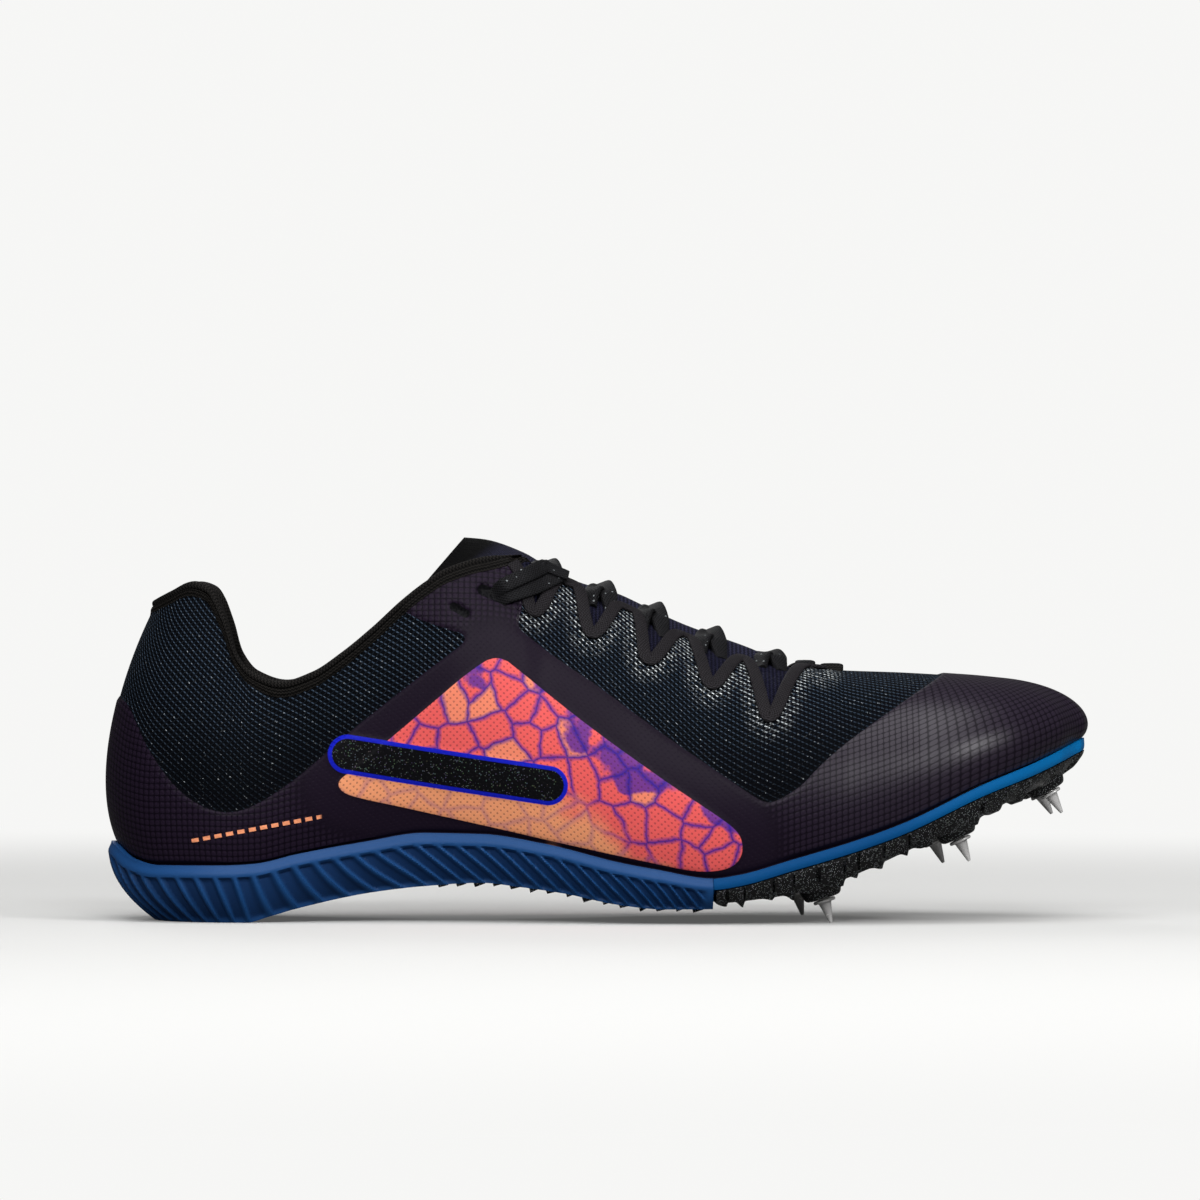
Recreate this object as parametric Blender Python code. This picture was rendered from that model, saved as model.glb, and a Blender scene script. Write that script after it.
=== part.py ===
"""Track spike shoe, right foot, standing empty on its heel and its two rear spikes.

Toe towards +X, outer (lateral) side towards -Y, inner (medial) side towards +Y.
The origin is the middle of the heel's flat spot on the floor.  Metres, +Z up.

The last is worked out by stations that run from the back of the heel to the toe.
Each station is an upright plane through a point of the spine.  Round the heel and
round the toe the planes fan out, and between them they stand square to the length.
"""
import bmesh
import bpy
import numpy as np
from mathutils import Matrix, Vector

# Driving sizes of the shoe
LENGTH = 0.283            # back of the heel to the tip of the plate
BALL_WIDTH = 0.092        # across the ball of the foot
HEEL_WIDTH = 0.062        # across the heel
INSTEP_HEIGHT = 0.1048    # top corner of the quarter above the floor
TOE_LIFT = 0.0524         # top of the sole at the toe above the floor
WALL = 0.0018             # upper's wall
FILM = 0.0006             # film laid on the lower part of the wall
LIP_WIDTH = 0.0030        # sole's lip beside the upper
BAND_HEIGHT = 0.0032      # side of the thin foam under the forefoot
CUP_DEPTH = 0.0016        # foot bed below the lip, forefoot
CUP_EXTRA = 0.0034        # how much deeper the foot bed lies at the heel
PLATE_WALL = 0.0024       # spike plate's floor
PLATE_RIM = 0.0042        # spike plate's rim, seen from below
RIB_DEPTH = 0.0012        # grooves in the side of the foam
RIB_PITCH = 0.0062        # one rib and its groove along the side
LUG_HEIGHT = 0.0018       # fins under the edge of the plate
LUG_WIDTH = 0.0045        # how far the fins reach in from the plate's edge
LUG_SLOPE = 0.0010        # run of their inner ends
INSOLE_THICK = 0.0030
TONGUE_THICK = 0.0028
COLLAR_HEIGHT = 0.0026    # padded binding above the upper's edge
COLLAR_PAD = 0.0034       # how thick the padding is inside the collar
EYESTAY_THICK = 0.0008
PANEL_THICK = 0.0006
LACE_WIDTH = 0.0056
LACE_THICK = 0.0018
PIN_LENGTH = 0.0060       # cone of a spike below its flange
PIN_BASE = 0.0036         # diameter of the cone at its flange
PIN_TIP = 0.0010
FLANGE_WIDTH = 0.0064
FLANGE_THICK = 0.0009
STEM_WIDTH = 0.0034
STEM_LENGTH = 0.0016
BOSS_WIDTH = 0.0100       # round boss that holds a spike
BOSS_HEIGHT = 0.0016
GAP = 0.0003              # clearance between neighbours
OVERLAY_GAP = 0.0006      # clearance of a sheet that follows the upper's curve

TONGUE_LEAN = 0.055       # how far the tongue's corners trail its middle, in lengths
LACE_SLANT = 0.006        # how far a lace bar runs towards the toe, in lengths
HEEL_SEAT = 0.102         # origin, as a share of the length from the back
STEP_SHARE = 0.618        # where the thick foam ends, as a share of the length
THROAT_SHARE = 0.748      # front end of the throat
THROAT_ROUND = 0.667      # where the throat's rounded front end begins
TOE_DROP = 0.11           # fall of the toe cap's handle ahead of the ridge, share of the wall
PLATE_START = 0.384       # rear end of the plate under the arch
HEEL_END = 0.243          # the width is the heel's up to here
BALL_START = 0.561        # and the ball's from here on
COLLAR_FADE = (0.385, 0.432)   # the binding's height runs out
COLLAR_END = 0.425        # and the binding stops
PAD_FADE = (0.34, 0.43)   # the padding gets thinner
CUP_FADE = 0.30           # the foot bed begins to rise from the heel's cup
TONGUE_SHARE = 0.6        # half width of the plate's tongue, as a share of the sole's
EYESTAY_MIDDLE = 0.855    # share of the wall's way up at which the webbing's loops are centred
EYESTAY_SWING = 0.075     # how far they swing to each side
LACE_REACH = 0.72         # lace bars' ends, in the throat's own measure across
EYESTAY_TOP = 0.985       # and where the webbing ends below the throat's edge

# Station table, in shares.  path: way along the sole's edge, in lengths.  spine:
# place along the length.  fan: the plane's turn from the toe's direction, degrees.
# shift: spine towards the inner side, in ball widths.  The reaches are distances
# from the spine in local widths, outer then inner side: foot at the sole, belly and
# shoulder as handles of the wall's curve, rim at the opening.  rise and drop place
# the two handles as shares of the wall's height.  tuck: how far the sole's side
# runs in under, in local widths.
STATIONS = np.array([
    # path  spine  fan  shift  foot_o foot_i belly_o belly_i should_o should_i rim_o rim_i rise drop tuck
    (0.000, 0.151, 180, 0.000, 0.621, 0.621, 0.742, 0.742, 0.645, 0.645, 0.460, 0.460, 0.24, 0.34, 0.220),
    (0.067, 0.151, 150, 0.000, 0.580, 0.580, 0.685, 0.685, 0.588, 0.588, 0.425, 0.425, 0.25, 0.34, 0.190),
    (0.134, 0.151, 120, 0.000, 0.508, 0.508, 0.588, 0.588, 0.500, 0.500, 0.370, 0.370, 0.27, 0.34, 0.145),
    (0.198, 0.151, 90, 0.000, 0.460, 0.460, 0.540, 0.540, 0.452, 0.452, 0.347, 0.347, 0.28, 0.35, 0.105),
    (0.290, 0.243, 90, 0.000, 0.420, 0.395, 0.516, 0.500, 0.484, 0.468, 0.403, 0.387, 0.30, 0.35, 0.097),
    (0.396, 0.349, 90, 0.000, 0.387, 0.287, 0.502, 0.445, 0.487, 0.459, 0.344, 0.330, 0.30, 0.30, 0.075),
    (0.449, 0.402, 90, 0.000, 0.387, 0.277, 0.490, 0.438, 0.439, 0.426, 0.271, 0.265, 0.30, 0.28, 0.068),
    (0.502, 0.455, 90, 0.003, 0.398, 0.285, 0.499, 0.428, 0.380, 0.368, 0.180, 0.176, 0.30, 0.18, 0.062),
    (0.608, 0.561, 90, 0.010, 0.440, 0.348, 0.544, 0.478, 0.391, 0.380, 0.138, 0.136, 0.35, 0.10, 0.052),
    (0.714, 0.667, 90, 0.016, 0.473, 0.435, 0.565, 0.522, 0.391, 0.391, 0.098, 0.098, 0.42, 0.05, 0.054),
    (0.802, 0.755, 90, 0.022, 0.467, 0.435, 0.543, 0.511, 0.326, 0.326, 0.000, 0.000, 0.50, 0.00, 0.054),
    (0.873, 0.826, 90, 0.043, 0.440, 0.397, 0.511, 0.467, 0.315, 0.293, 0.000, 0.000, 0.50, 0.00, 0.054),
    (0.926, 0.858, 65, 0.054, 0.386, 0.364, 0.451, 0.429, 0.293, 0.283, 0.000, 0.000, 0.50, 0.00, 0.050),
    (0.979, 0.890, 40, 0.071, 0.301, 0.290, 0.364, 0.353, 0.255, 0.250, 0.000, 0.000, 0.45, 0.00, 0.045),
    (1.032, 0.911, 20, 0.082, 0.249, 0.249, 0.320, 0.320, 0.236, 0.236, 0.000, 0.000, 0.33, 0.00, 0.040),
    (1.085, 0.911, 0, 0.082, 0.249, 0.249, 0.320, 0.320, 0.240, 0.240, 0.000, 0.000, 0.29, 0.00, 0.036),
])

# Side view lines: place along the length, height as a share of the size named beside
TOP_LINE = np.array([   # collar, throat and ridge, shares of INSTEP_HEIGHT
    (0.046, 0.874), (0.070, 0.906), (0.092, 0.931), (0.107, 0.919), (0.122, 0.846), (0.137, 0.735),
    (0.153, 0.685), (0.183, 0.659), (0.214, 0.684), (0.244, 0.737), (0.275, 0.806), (0.305, 0.881),
    (0.328, 0.930), (0.352, 0.970), (0.396, 1.000), (0.428, 0.995), (0.448, 0.953), (0.478, 0.915),
    (0.529, 0.855), (0.589, 0.778), (0.651, 0.725), (0.702, 0.697), (0.748, 0.684), (0.808, 0.678),
    (0.854, 0.671), (0.886, 0.665), (0.922, 0.655)])
LIP_LINE = np.array([   # top of the sole's edge, shares of TOE_LIFT
    (0.007, 0.455), (0.016, 0.425), (0.036, 0.345), (0.061, 0.313), (0.130, 0.315), (0.158, 0.324),
    (0.199, 0.374), (0.271, 0.445), (0.327, 0.490), (0.386, 0.485), (0.448, 0.435), (0.524, 0.336),
    (0.562, 0.298), (0.617, 0.252), (0.640, 0.269), (0.698, 0.357), (0.757, 0.452), (0.809, 0.552),
    (0.888, 0.754), (0.948, 0.882), (0.995, 1.000)])
FOAM_LINE = np.array([  # underside of the foam, shares of TOE_LIFT
    (0.057, 0.000), (0.148, 0.000), (0.172, 0.034), (0.199, 0.076), (0.275, 0.164), (0.327, 0.198),
    (0.386, 0.218), (0.422, 0.198), (0.468, 0.164), (0.523, 0.105), (0.568, 0.082), (0.619, 0.084)])
PLATE_LINE = np.array([  # underside of the plate's fins, shares of TOE_LIFT
    (0.384, 0.187), (0.423, 0.172), (0.469, 0.137), (0.522, 0.088), (0.568, 0.074), (0.618, 0.080),
    (0.667, 0.107), (0.702, 0.137), (0.738, 0.191), (0.773, 0.267), (0.808, 0.353), (0.844, 0.439),
    (0.879, 0.521), (0.914, 0.620), (0.950, 0.706), (0.985, 0.830), (1.000, 0.906)])
FILM_LINE = np.array([  # upper edge of the film, shares of INSTEP_HEIGHT
    (0.015, 0.630), (0.025, 0.591), (0.039, 0.500), (0.071, 0.363), (0.098, 0.308), (0.125, 0.288),
    (0.152, 0.308), (0.186, 0.368), (0.246, 0.509), (0.296, 0.611), (0.341, 0.712), (0.370, 0.811),
    (0.392, 1.000), (0.423, 1.000), (0.440, 0.763), (0.463, 0.709), (0.502, 0.640), (0.580, 0.484),
    (0.659, 0.338), (0.675, 0.316), (0.710, 0.368), (0.757, 0.490), (0.820, 0.610), (0.852, 0.700)])
CROWN_LINE = np.array([  # middle of the tongue, shares of INSTEP_HEIGHT
    (0.349, 1.052), (0.384, 1.045), (0.427, 1.007), (0.448, 0.973), (0.478, 0.930), (0.529, 0.866),
    (0.589, 0.790), (0.651, 0.730), (0.702, 0.676), (0.748, 0.652)])

# Spikes: place along the length, reach from the spine in ball widths (outer side
# negative), and whether the spike's tip stands on the floor.
SPIKES = (
    ("rear_outer", 0.729, -0.300, True),
    ("rear_inner", 0.707, 0.270, True),
    ("mid_outer", 0.866, -0.290, False),
    ("mid_inner", 0.848, 0.260, False),
    ("front_outer", 0.960, -0.135, False),
    ("front_inner", 0.955, 0.105, False),
)
PANEL_LINE = np.array([  # printed panel: lower and upper edge, shares of INSTEP_HEIGHT
    (0.239, 0.353, 0.367), (0.250, 0.335, 0.388), (0.292, 0.305, 0.487), (0.340, 0.285, 0.607),
    (0.400, 0.255, 0.722), (0.427, 0.235, 0.671), (0.504, 0.180, 0.506), (0.582, 0.145, 0.357),
    (0.630, 0.135, 0.262), (0.650, 0.175, 0.215)])
EYESTAY_LOOPS = (0.436, 0.494, 0.551, 0.614, 0.667)   # lowest points of the webbing's loops
LACE_BARS = (0.457, 0.519, 0.565, 0.623, 0.682, 0.718)   # along the length, top to bottom

INNER_SHARES = (1.0, 0.9, 0.75, 0.55, 0.35, 0.15)   # rows of the wall's inner face

COL = {name: i for i, name in enumerate(
    ("path", "spine", "fan", "shift", "foot_o", "foot_i", "belly_o", "belly_i", "shoulder_o",
     "shoulder_i", "rim_o", "rim_i", "rise", "drop", "tuck"))}


def ease(at, start, end):
    """Smooth step: 0 before start, 1 past end, level at both."""
    t = np.clip((np.asarray(at, float) - start) / (end - start), 0.0, 1.0)
    return t * t * (3.0 - 2.0 * t)


def smooth(at, xs, ys, level_ends=False):
    """Curve through the points that never overshoots, held level past its ends."""
    at = np.clip(np.asarray(at, float), xs[0], xs[-1])
    step = np.diff(xs)
    rise = np.diff(ys) / step
    slope = np.zeros(len(xs))
    both = rise[:-1] * rise[1:] > 0
    before = 2.0 * step[1:] + step[:-1]
    after = step[1:] + 2.0 * step[:-1]
    inner = np.zeros(len(both))
    inner[both] = (before + after)[both] / (before[both] / rise[:-1][both] + after[both] / rise[1:][both])
    slope[1:-1] = inner
    if not level_ends:
        slope[0], slope[-1] = rise[0], rise[-1]
    i = np.clip(np.searchsorted(xs, at, side="right") - 1, 0, len(step) - 1)
    t = (at - xs[i]) / step[i]
    h = step[i]
    return ((1 + 2 * t) * (1 - t) ** 2 * ys[i] + t * (1 - t) ** 2 * h * slope[i]
            + t * t * (3 - 2 * t) * ys[i + 1] + t * t * (t - 1) * h * slope[i + 1])


def share(x):
    """Place along the length, as a share, of a distance from the origin."""
    return x / LENGTH + HEEL_SEAT


def line(table, x, height):
    """Height of a side view line at a distance from the origin."""
    return smooth(share(x), table[:, 0], table[:, 1]) * height


def lip(x):
    """Top of the sole's edge."""
    return line(LIP_LINE, x, TOE_LIFT)


def bed(x):
    """Foot bed: it lies in the sole, deeper at the heel."""
    return lip(x) - CUP_DEPTH - CUP_EXTRA * (1.0 - ease(share(x), CUP_FADE, STEP_SHARE))


def plate_under(x):
    """Flat underside of the plate, above its fins."""
    return line(PLATE_LINE, x, TOE_LIFT) + LUG_HEIGHT


def plate_floor(x):
    """Upper face of the plate's floor."""
    return plate_under(x) + PLATE_WALL


def collar_height(x):
    """The binding is full height round the heel and runs out at the quarter's top corner."""
    return COLLAR_HEIGHT * (1.0 - ease(share(x), *COLLAR_FADE))


def local_width(place):
    """Width that the station table's reaches are shares of: heel's, then ball's."""
    return HEEL_WIDTH + (BALL_WIDTH - HEEL_WIDTH) * ease(place, HEEL_END, BALL_START)


def path_at(place):
    """Way along the sole's edge of a place along the length, ahead of the heel's fan."""
    return np.interp(place, STATIONS[3:, 1], STATIONS[3:, 0])


def stations(path):
    """Columns of the station table at ways along the sole's edge, in metres and radians."""
    path = np.atleast_1d(np.asarray(path, float))
    place = np.interp(path, STATIONS[:, 0], STATIONS[:, COL["spine"]])
    st = {"place": place, "x": (place - HEEL_SEAT) * LENGTH}
    turn = np.radians(np.interp(path, STATIONS[:, 0], STATIONS[:, COL["fan"]]))
    st["ahead"] = np.cos(turn)
    st["aside"] = np.sin(turn)
    width = local_width(place)
    for name in ("foot_o", "foot_i", "belly_o", "belly_i", "shoulder_o", "shoulder_i",
                 "rim_o", "rim_i", "tuck"):
        st[name] = smooth(path, STATIONS[:, 0], STATIONS[:, COL[name]], True) * width
    for name in ("rise", "drop"):
        st[name] = smooth(path, STATIONS[:, 0], STATIONS[:, COL[name]], True)
    st["y"] = smooth(path, STATIONS[:, 0], STATIONS[:, COL["shift"]], True) * BALL_WIDTH
    round_off = np.clip((place - THROAT_ROUND) / (THROAT_SHARE - 1e-6 - THROAT_ROUND), 0.0, 1.0)
    round_off = np.sqrt(1.0 - round_off ** 2)
    start = path_at(THROAT_ROUND)
    for name in ("rim_o", "rim_i"):
        held = smooth(np.minimum(path, start), STATIONS[:, 0], STATIONS[:, COL[name]], True) * width
        st[name] = np.where(place > THROAT_ROUND, held * round_off, st[name])
    st["drop"] = np.where(place > THROAT_SHARE - 1e-6, TOE_DROP * st["ahead"], st["drop"])
    return st


def place_points(st, side, reach, height):
    """World points of reaches and heights in the stations' planes; side -1 outer, +1 inner."""
    shape = np.shape(reach)
    column = (-1,) + (1,) * (len(shape) - 1)
    x = st["x"].reshape(column) + reach * st["ahead"].reshape(column)
    y = st["y"].reshape(column) + side * reach * st["aside"].reshape(column)
    return np.stack([x, y, np.broadcast_to(height, shape)], axis=-1)


def ahead_of(st, reach):
    """Distance along the length of a reach in the stations' planes."""
    return st["x"] + reach * st["ahead"]


def suffix(side):
    """Ending of the station table's columns for a side."""
    return "_o" if side < 0 else "_i"


def wall_curve(st, side, v, offset=0.0):
    """Upper's wall: reach and height at shares v of the way from the sole to the rim.

    Each section is a cubic curve whose two handles are the belly and the shoulder.
    The offset moves it along its own normal, outwards when positive.
    """
    end = suffix(side)
    foot, belly = st["foot" + end][:, None], st["belly" + end][:, None]
    shoulder, rim = st["shoulder" + end][:, None], st["rim" + end][:, None]
    x_foot = st["x"][:, None] + foot * st["ahead"][:, None]
    x_rim = st["x"][:, None] + rim * st["ahead"][:, None]
    z_foot = lip(x_foot)
    z_rim = line(TOP_LINE, x_rim, INSTEP_HEIGHT) - collar_height(x_rim)
    tall = z_rim - z_foot
    z_belly = z_foot + st["rise"][:, None] * tall
    z_shoulder = z_rim - st["drop"][:, None] * tall
    v = np.broadcast_to(v, (len(st["x"]), np.shape(v)[-1]))
    a, b, c, d = (1 - v) ** 3, 3 * v * (1 - v) ** 2, 3 * v * v * (1 - v), v ** 3
    reach = a * foot + b * belly + c * shoulder + d * rim
    height = a * z_foot + b * z_belly + c * z_shoulder + d * z_rim
    da, db, dc = (1 - v) ** 2, 2 * v * (1 - v), v * v
    run = da * (belly - foot) + db * (shoulder - belly) + dc * (rim - shoulder)
    up = da * (z_belly - z_foot) + db * (z_shoulder - z_belly) + dc * (z_rim - z_shoulder)
    up = np.where((rim < 1e-7) & (v > 1.0 - 1e-9), 0.0, up)   # both sides share the ridge
    size = np.hypot(run, up)
    return reach + offset * up / size, height - offset * run / size


def film_share(st, side):
    """Share of the wall's way up at which the film ends."""
    v = np.linspace(0.0, 1.0, 41)[None, :]
    reach, height = wall_curve(st, side, v)
    belly = st["x"] + st["belly" + suffix(side)] * st["ahead"]
    edge = smooth(share(belly), FILM_LINE[:, 0], FILM_LINE[:, 1]) * INSTEP_HEIGHT
    return np.array([np.interp(e, h, v[0]) for e, h in zip(edge, height)])


def material(name, color, roughness, metallic=0.0):
    """Plain finish of one piece."""
    mat = bpy.data.materials.new(name)
    mat.use_nodes = True
    shader = mat.node_tree.nodes["Principled BSDF"]
    shader.inputs["Base Color"].default_value = (*color, 1.0)
    shader.inputs["Roughness"].default_value = roughness
    shader.inputs["Metallic"].default_value = metallic
    return mat


def add_body(name, points, faces, mat, crease=35.0):
    """Object of one closed body: joined where points meet, faces out, round where soft."""
    bm = bmesh.new()
    verts = [bm.verts.new(p) for p in points]
    for face in faces:
        if len(set(face)) == len(face):
            bm.faces.new([verts[i] for i in face])
    bmesh.ops.remove_doubles(bm, verts=bm.verts, dist=1e-6)
    bmesh.ops.dissolve_degenerate(bm, edges=bm.edges, dist=1e-6)
    bmesh.ops.triangulate(bm, faces=[f for f in bm.faces if len(f.verts) > 3])
    loose = [v for v in bm.verts if not v.link_faces]
    bmesh.ops.delete(bm, geom=loose, context="VERTS")
    bmesh.ops.recalc_face_normals(bm, faces=bm.faces)
    mesh = bpy.data.meshes.new(name)
    bm.to_mesh(mesh)
    bm.free()
    mesh.shade_smooth()
    mesh.set_sharp_from_angle(angle=np.radians(crease))
    mesh.materials.append(mat)
    obj = bpy.data.objects.new(name, mesh)
    bpy.context.scene.collection.objects.link(obj)
    return obj


def grid_faces(count, rows, wrap_count, wrap_rows, skip=None):
    """Quads between neighbouring stations and rows of a grid of points."""
    faces = []
    for i in range(count if wrap_count else count - 1):
        for j in range(rows if wrap_rows else rows - 1):
            if skip is not None and skip(i, j):
                continue
            n, m = (i + 1) % count, (j + 1) % rows
            faces.append((i * rows + j, n * rows + j, n * rows + m, i * rows + m))
    return faces


def around(outer, inner, whole):
    """Sections of both sides in one ring: outer side to the toe, inner side back again.

    A whole ring starts at the middle of the heel, which both sides share.
    """
    back = inner[-2:0:-1] if whole else inner[-2::-1]
    return np.concatenate([outer, back])


def upper_paths():
    """Stations of the upper: fans at heel and toe, and an even run between them."""
    return np.concatenate([np.linspace(0.0, STATIONS[3, 0], 9),
                           path_at(np.linspace(STATIONS[3, 1], THROAT_SHARE, 30))[1:],
                           np.linspace(path_at(THROAT_SHARE), STATIONS[-1, 0], 14)[1:]])


def outer_rows(st, side):
    """Rows of the upper's outer face above the sole: shares of the way up, reach, height.

    The film is a step in the wall: its rows end where the side view line says.
    """
    top = film_share(st, side)
    covered = ease(top, 0.93, 1.0)[:, None]
    top = np.clip(top, 0.10, 0.93)[:, None]
    start = (0.05 + 0.04 * ease(st["place"], 0.85, 0.92))[:, None]
    low = start + (top - start) * np.linspace(0.0, 1.0, 4)[None, :]
    high = top + 0.006 + (1.0 - top - 0.006) * np.linspace(0.0, 1.0, 5)[None, :]
    film = wall_curve(st, side, low, FILM)
    bare = wall_curve(st, side, high, FILM * covered)
    return (np.concatenate([low, high], axis=1), np.concatenate([film[0], bare[0]], axis=1),
            np.concatenate([film[1], bare[1]], axis=1))


def sole_top(st, side):
    """Height of the sole's lip beside the upper: level from its inside to its outside."""
    return lip(ahead_of(st, st["foot" + suffix(side)] + GAP))


def make_upper(mat):
    """Hollow last-shaped wall, open at collar and throat and underneath."""
    st = stations(upper_paths())
    rings = []
    for side in (-1, 1):
        foot = st["foot" + suffix(side)][:, None]
        skirt = bed(ahead_of(st, foot[:, 0] + GAP))[:, None] + GAP
        _, reach, height = outer_rows(st, side)
        inside = np.array([INNER_SHARES])
        parts = [(foot, skirt), (foot, sole_top(st, side)[:, None] + GAP), (reach, height),
                 wall_curve(st, side, inside, -WALL), (foot - WALL, skirt)]
        rings.append(place_points(st, side, np.concatenate([p[0] for p in parts], axis=1),
                                  np.concatenate([p[1] for p in parts], axis=1)))
    grid = around(rings[0], rings[1], True)
    count, rows = grid.shape[:2]
    closed = np.concatenate([st["rim_o"], st["rim_i"][-2:0:-1]]) < 1e-7
    rim_row = 1 + reach.shape[1]

    def ridge(i, j):
        return j == rim_row and closed[i] and closed[(i + 1) % count]

    return add_body("upper", grid.reshape(-1, 3), grid_faces(count, rows, True, True, ridge), mat)


def facets(side, lift):
    """Upper's stations with, row by row, their shares and their points raised by a lift."""
    st = stations(upper_paths())
    shares, reach, height = outer_rows(st, side)
    bare = wall_curve(st, side, shares)
    raised = wall_curve(st, side, shares, lift)
    points = place_points(st, side, reach + raised[0] - bare[0], height + raised[1] - bare[1])
    return shares, points


def between(paths):
    """Station before each way along the edge, and how far on it lies to the next one."""
    base = upper_paths()
    i = np.clip(np.searchsorted(base, paths, side="right") - 1, 0, len(base) - 2)
    return i, (paths - base[i]) / (base[i + 1] - base[i])


def over_facets(points, i, blend, rows):
    """Points on the upper's own flat facets at fractional rows between stations."""
    k = np.clip(rows.astype(int), 0, points.shape[1] - 2)
    on = (rows - k)[:, :, None]
    first = points[i[:, None], k] * (1 - on) + points[i[:, None], k + 1] * on
    second = points[i[:, None] + 1, k] * (1 - on) + points[i[:, None] + 1, k + 1] * on
    return first * (1 - blend[:, None, None]) + second * blend[:, None, None]


def sole_edge(st, side):
    """Reaches at the sole: inside of its lip, outside of its lip, and foot of its side."""
    inside = st["foot" + suffix(side)] + GAP
    outside = inside + LIP_WIDTH * (1.0 - 0.4 * ease(st["place"], 0.55, STEP_SHARE + 0.02))
    return inside, outside, outside - st["tuck"]


def block_edge(st, side):
    """Half width of the foam block that the plate's floor lies against."""
    outside = sole_edge(st, side)[1]
    return np.where(st["place"] > STEP_SHARE, outside - PLATE_RIM, TONGUE_SHARE * outside)


def step_x():
    """Where the thick side of the foam ends."""
    return (STEP_SHARE - HEEL_SEAT) * LENGTH


def front_paths():
    """Upper's stations ahead of the thick foam, which sole and plate share."""
    paths = upper_paths()
    return paths[paths > path_at(STEP_SHARE) + 0.008]


def make_midsole(mat):
    """Foam with a lip round the upper, ribbed sides behind and a thin band ahead."""
    stop = path_at(share(step_x() - GAP))
    ribs = max(int(round(stop * LENGTH / RIB_PITCH)), 4)
    paths = np.concatenate([np.linspace(0.0, stop, 2 * ribs + 1), [path_at(STEP_SHARE) + 1e-6],
                            front_paths()])
    groove = np.where(np.arange(len(paths)) % 2 == 1, 1.0, 0.0)
    groove[2 * ribs:] = 0.0
    groove[0] = 0.0
    st = stations(paths)
    back = st["place"] < STEP_SHARE - 1e-7
    lean = (0.25 + 0.60 * ease(st["place"], 0.15, 0.33)) * ease(paths, 0.0, 0.06)
    lean = lean * (1.0 - ease(st["place"], 0.50, STEP_SHARE - 0.01))
    rings = []
    for side in (-1, 1):
        columns = []
        inside, outside, foot = sole_edge(st, side)

        def bottom(reach, where):
            thick = line(FOAM_LINE, ahead_of(where, reach), TOE_LIFT)
            return np.where(back, thick, sole_top(where, side) - BAND_HEIGHT)

        zero = np.zeros(len(paths))
        top = sole_top(st, side)
        columns.append((st, zero, bed(st["x"])))
        columns.append((st, inside, bed(ahead_of(st, inside))))
        columns.append((st, inside, top))
        columns.append((st, outside, top - 0.1 * BAND_HEIGHT))
        for t, deep in ((0.20, 0.0), (0.32, 1.0), (0.80, 1.0), (1.0, 0.0)):
            tall = top - bottom(foot, st)
            moved = stations(paths + lean * t * tall / LENGTH)
            _, out, low = sole_edge(moved, side)
            run_in = (out - low) * np.where(back, 1.0, 0.12)
            reach = out - run_in * t ** 2.3 - deep * RIB_DEPTH * groove
            z_top = sole_top(moved, side)
            height = z_top + (bottom(low, moved) - z_top) * t
            columns.append((moved, reach, height))
        block = block_edge(st, side)
        hollow = st["place"] > PLATE_START - 0.5 * RIB_PITCH / LENGTH
        under = np.where(hollow, plate_floor(ahead_of(st, block)) + GAP, bottom(block, st))
        middle = np.where(hollow, plate_floor(st["x"]) + GAP,
                          np.where(back, line(FOAM_LINE, st["x"], TOE_LIFT), 0.0))
        columns.append((st, block, bottom(block, st)))
        columns.append((st, block, under))
        columns.append((st, zero, middle))
        rings.append(np.stack([place_points(w, side, r, h) for w, r, h in columns], axis=1))
    grid = around(rings[0], rings[1], True)
    count, rows = grid.shape[:2]
    return add_body("midsole", grid.reshape(-1, 3), grid_faces(count, rows, True, False), mat, 25.0)


def with_fins(ring, start):
    """A section halfway between each two from the start on, its lower edge drawn down."""
    middle = 0.5 * (ring[start:-1] + ring[start + 1:])
    middle[:, 5:7, 2] -= LUG_HEIGHT
    whole = np.empty((len(ring) + len(middle),) + ring.shape[1:])
    whole[:start] = ring[:start]
    whole[start::2] = ring[start:]
    whole[start + 1::2] = middle
    return whole


def make_plate(mat):
    """Spike plate: a shallow tray under the forefoot, a tongue of it back under the arch."""
    start = path_at(share(step_x() + 2 * GAP))
    paths = np.concatenate([np.linspace(path_at(PLATE_START + 0.6 * RIB_PITCH / LENGTH),
                                        path_at(share(step_x() + GAP)), 7),
                            [start, start + 0.0004], front_paths()])
    st = stations(paths)
    tray = np.arange(len(paths)) >= 7
    walled = np.arange(len(paths)) >= 8
    rings = []
    for side in (-1, 1):
        _, outside, foot = sole_edge(st, side)
        tongue = TONGUE_SHARE * outside - GAP
        rim_in = np.where(tray, outside - PLATE_RIM + GAP, tongue)
        rim_out = np.where(tray, outside - GAP, tongue)
        waist = np.where(tray, outside - 0.3 * (outside - foot), tongue)
        edge = np.where(tray, foot, tongue)
        fin_in = edge - LUG_WIDTH
        floor = plate_floor(ahead_of(st, rim_in))
        rim_top = np.where(walled, sole_top(st, side) - BAND_HEIGHT - GAP, floor)
        under = plate_under(ahead_of(st, edge))
        half = 0.5 * (rim_top + under)
        zero = np.zeros(len(paths))
        columns = [(zero, plate_floor(st["x"])), (rim_in, floor),
                   (rim_in, rim_top), (rim_out, rim_top), (waist, half), (edge, under),
                   (fin_in, plate_under(ahead_of(st, fin_in))),
                   (fin_in - LUG_SLOPE, plate_under(ahead_of(st, fin_in - LUG_SLOPE))),
                   (zero, plate_under(st["x"]))]
        rings.append(np.stack([place_points(st, side, r, h) for r, h in columns], axis=1))
    rings = [with_fins(ring, 8) for ring in rings]
    grid = around(rings[0], rings[1], False)
    count, rows = grid.shape[:2]
    faces = grid_faces(count, rows, False, False)
    last = (count - 1) * rows
    faces.append(tuple(range(rows)) + tuple(last + j for j in range(rows - 1, -1, -1)))
    return add_body("spike_plate", grid.reshape(-1, 3), faces, mat, 25.0)


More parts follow.
